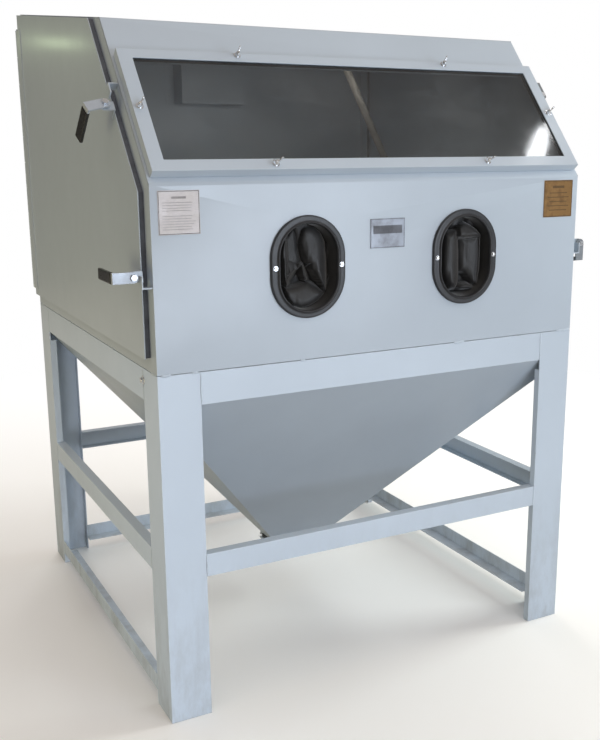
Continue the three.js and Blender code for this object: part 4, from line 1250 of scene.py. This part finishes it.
# ------------------------------------------------------------------ floor
def floor_material():
    """Near-white to the camera, darker to other rays, melting into the surround far out."""
    t = material_nodes("studio_floor")
    camera_ray = t.new("ShaderNodeLightPath").outputs["Is Camera Ray"]
    tone = t.mix(t.noise(scale=1.2, detail=3), (0.90, 0.90, 0.895), (0.93, 0.93, 0.925))
    matt = t.principled(Base_Color=t.mix(camera_ray, (0.42, 0.415, 0.40), tone), Roughness=0.8,
                        Specular_IOR_Level=0.1)
    x, y, _ = t.separate(t.coord())
    radius = t.math("SQRT", t.math("ADD", t.math("MULTIPLY", x, x), t.math("MULTIPLY", y, y)))
    white = t.new("ShaderNodeEmission", {0: (1, 1, 1, 1)}).outputs[0]
    fade = t.math("MULTIPLY", t.remap(radius, (1.1, 3.4)), camera_ray)
    return t.surface(t.mix_shader(fade, matt, white))


FLOOR_RADIUS = 7.5                         # metres
floor_mesh = bpy.data.meshes.new("floor")
floor_mesh.from_pydata([(FLOOR_RADIUS * math.cos(a), FLOOR_RADIUS * math.sin(a), 0)
                        for a in angles(72)], [], [tuple(range(72))])
floor = bpy.data.objects.new("floor", floor_mesh)
floor.location = (CX, CY, -0.0005)
scene.collection.objects.link(floor)
give(floor, floor_material())

# ------------------------------------------------------------------ world
# soft lobes of light: direction each comes from, colour
LOBES = {
    "left": ((-1, 0, 0), (0.03, 0.028, 0.02)),
    "right": ((1, 0, 0), (0.06, 0.06, 0.06)),
    "front": ((0, -1, 0), (0.42, 0.40, 0.37)),
    "back": ((0, 1, 0), (0.10, 0.10, 0.095)),
    "top": ((0, 0, 1), (1.06, 0.95, 0.86)),
}
LOBE_FOCUS = 1.6                           # exponent: higher is narrower
TOP_GLOSS_DROP = -0.6                      # the ceiling is dimmer in polished faces


def studio_world():
    """White to the camera, lobes of light to everything else."""
    world = bpy.data.worlds.new("studio")
    scene.world = world
    t = Nodes(world, "ShaderNodeOutputWorld")

    def calc(operation, *values):
        return t.new("ShaderNodeMath", dict(enumerate(values)), operation=operation).outputs[0]

    rays = t.new("ShaderNodeLightPath").outputs
    direction = t.new("ShaderNodeTexCoord").outputs["Generated"]
    total = None
    for name, (axis, colour) in LOBES.items():
        lobe = calc("POWER", calc("MAXIMUM", t.dot(direction, axis), 0.0), LOBE_FOCUS)
        if name == "top":
            lobe = calc("MULTIPLY", lobe, calc("MULTIPLY_ADD", rays["Is Glossy Ray"],
                                               TOP_GLOSS_DROP, 1.0))
        light = t.new("ShaderNodeVectorMath", {0: colour, "Scale": lobe},
                      operation="SCALE").outputs[0]
        total = light if total is None else t.new(
            "ShaderNodeVectorMath", {0: total, 1: light}, operation="ADD").outputs[0]
    lit = t.new("ShaderNodeBackground", {0: total, 1: 1.0}).outputs[0]
    white = t.new("ShaderNodeBackground", {0: (1, 1, 1, 1), 1: 1.0}).outputs[0]
    t.surface(t.mix_shader(rays["Is Camera Ray"], lit, white))


studio_world()


# ------------------------------------------------------------------ lights
def area(name, location, direction, size, power, colour=(1, 1, 1), size_y=None,
         gloss_only=False, no_gloss=False):
    """Area light at a place in the CAD frame; sizes in m, power in W."""
    light = bpy.data.lights.new(name, "AREA")
    light.energy = power
    light.color = colour
    light.size = size
    if size_y:
        light.shape = "ELLIPSE" if gloss_only else "RECTANGLE"
        light.size_y = size_y
    o = bpy.data.objects.new(name, light)
    o.location = location
    o.rotation_mode = "QUATERNION"
    o.rotation_quaternion = direction.to_track_quat("-Z", "Y")
    o.visible_camera = False
    if gloss_only:
        o.visible_diffuse = False
        o.visible_transmission = False
    if no_gloss:
        o.visible_glossy = False
    scene.collection.objects.link(o)
    return o


def aimed_area(name, place, target, **settings):
    """Area light placed and aimed in mm."""
    return area(name, to_cad(place), to_cad(target) - to_cad(place), **settings)


def light_group(name, objects):
    group = bpy.data.collections.new(name)
    for o in objects:
        group.objects.link(o)
    return group


aimed_area("key_low", (1500, -5400, 900), (0, 0, 800), size=2.6, power=114.0,
           colour=(0.84, 0.94, 1.08))
left_wall = aimed_area("left_wall", (-2700, 0, 520), (-612, 0, 1100), size=1.4, power=14.0,
                       colour=(1.0, 0.89, 0.48))
aimed_area("back_wall", (900, 5200, 2300), (0, 300, 1000), size=2.8, power=120.0,
           colour=(1.0, 0.99, 0.97), no_gloss=True)
leg_fill = aimed_area("leg_fill", (-1900, -2300, 250), (-560, -600, 350), size=0.8, power=24.0,
                      colour=(0.93, 0.97, 1.04), no_gloss=True)
pane_glint = aimed_area("pane_glint", (1762, -856, 2896), (484, -574, 1382), size=0.24,
                        size_y=0.085, power=0.85, gloss_only=True)
door_glint = aimed_area("door_glint", (-1323, 2959, 1923), (-624, 54, 1659), size=0.12,
                        size_y=0.05, power=0.24, colour=(0.80, 1.0, 0.62), gloss_only=True)
# these shape the machine only, so that they leave no pools on the floor
keep_off = light_group("keep_off", [floor])
keep_off.collection_objects[0].light_linking.link_state = "EXCLUDE"
for o in (left_wall, pane_glint, door_glint):
    o.light_linking.receiver_collection = keep_off
# the low fill reaches the stand only
leg_fill.light_linking.receiver_collection = light_group(
    "stand_only", [o for name, o in NODES.items()
                   if name.startswith("leg_") or "_rail_" in name])
# the lamp inside shines down from just below its diffuser, tipped a little to the back
lamp_lo, lamp_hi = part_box("work_light")
area("inner_lamp", Vector(((lamp_lo[0] + lamp_hi[0]) / 2, (lamp_lo[1] + lamp_hi[1]) / 2,
                           lamp_lo[2] - 0.024)),
     Vector((0, 0.25, -1)), size=0.5, size_y=0.06, power=1.6, colour=(1.0, 0.95, 0.88),
     no_gloss=True)
aimed_area("right_wall", (4300, -800, 1900), (0, 0, 900), size=2.0, power=150.0,
           colour=(0.97, 1.03, 0.98), no_gloss=True)

# ------------------------------------------------------------------ camera
CAMERA_PLACE = (-1292.3897, -2724.937, 1406.1876)
YAW, PITCH = 0.50222, -0.23020             # radians: right of straight back, up
camera_data = bpy.data.cameras.new("photo_camera")
camera = bpy.data.objects.new("photo_camera", camera_data)
scene.collection.objects.link(camera)
camera_data.sensor_width = 36
camera_data.sensor_fit = "AUTO"
camera_data.lens = 48.148409
camera_data.shift_x = -0.058397162
camera_data.shift_y = 0.0037233784
camera_data.clip_start, camera_data.clip_end = 0.05, 60
ahead = Vector((math.sin(YAW) * math.cos(PITCH), math.cos(YAW) * math.cos(PITCH),
                math.sin(PITCH)))
camera.rotation_mode = "QUATERNION"
camera.rotation_quaternion = ahead.to_track_quat("-Z", "Y")
camera.location = to_cad(CAMERA_PLACE)
scene.camera = camera
scene.view_settings.view_transform = "Standard"
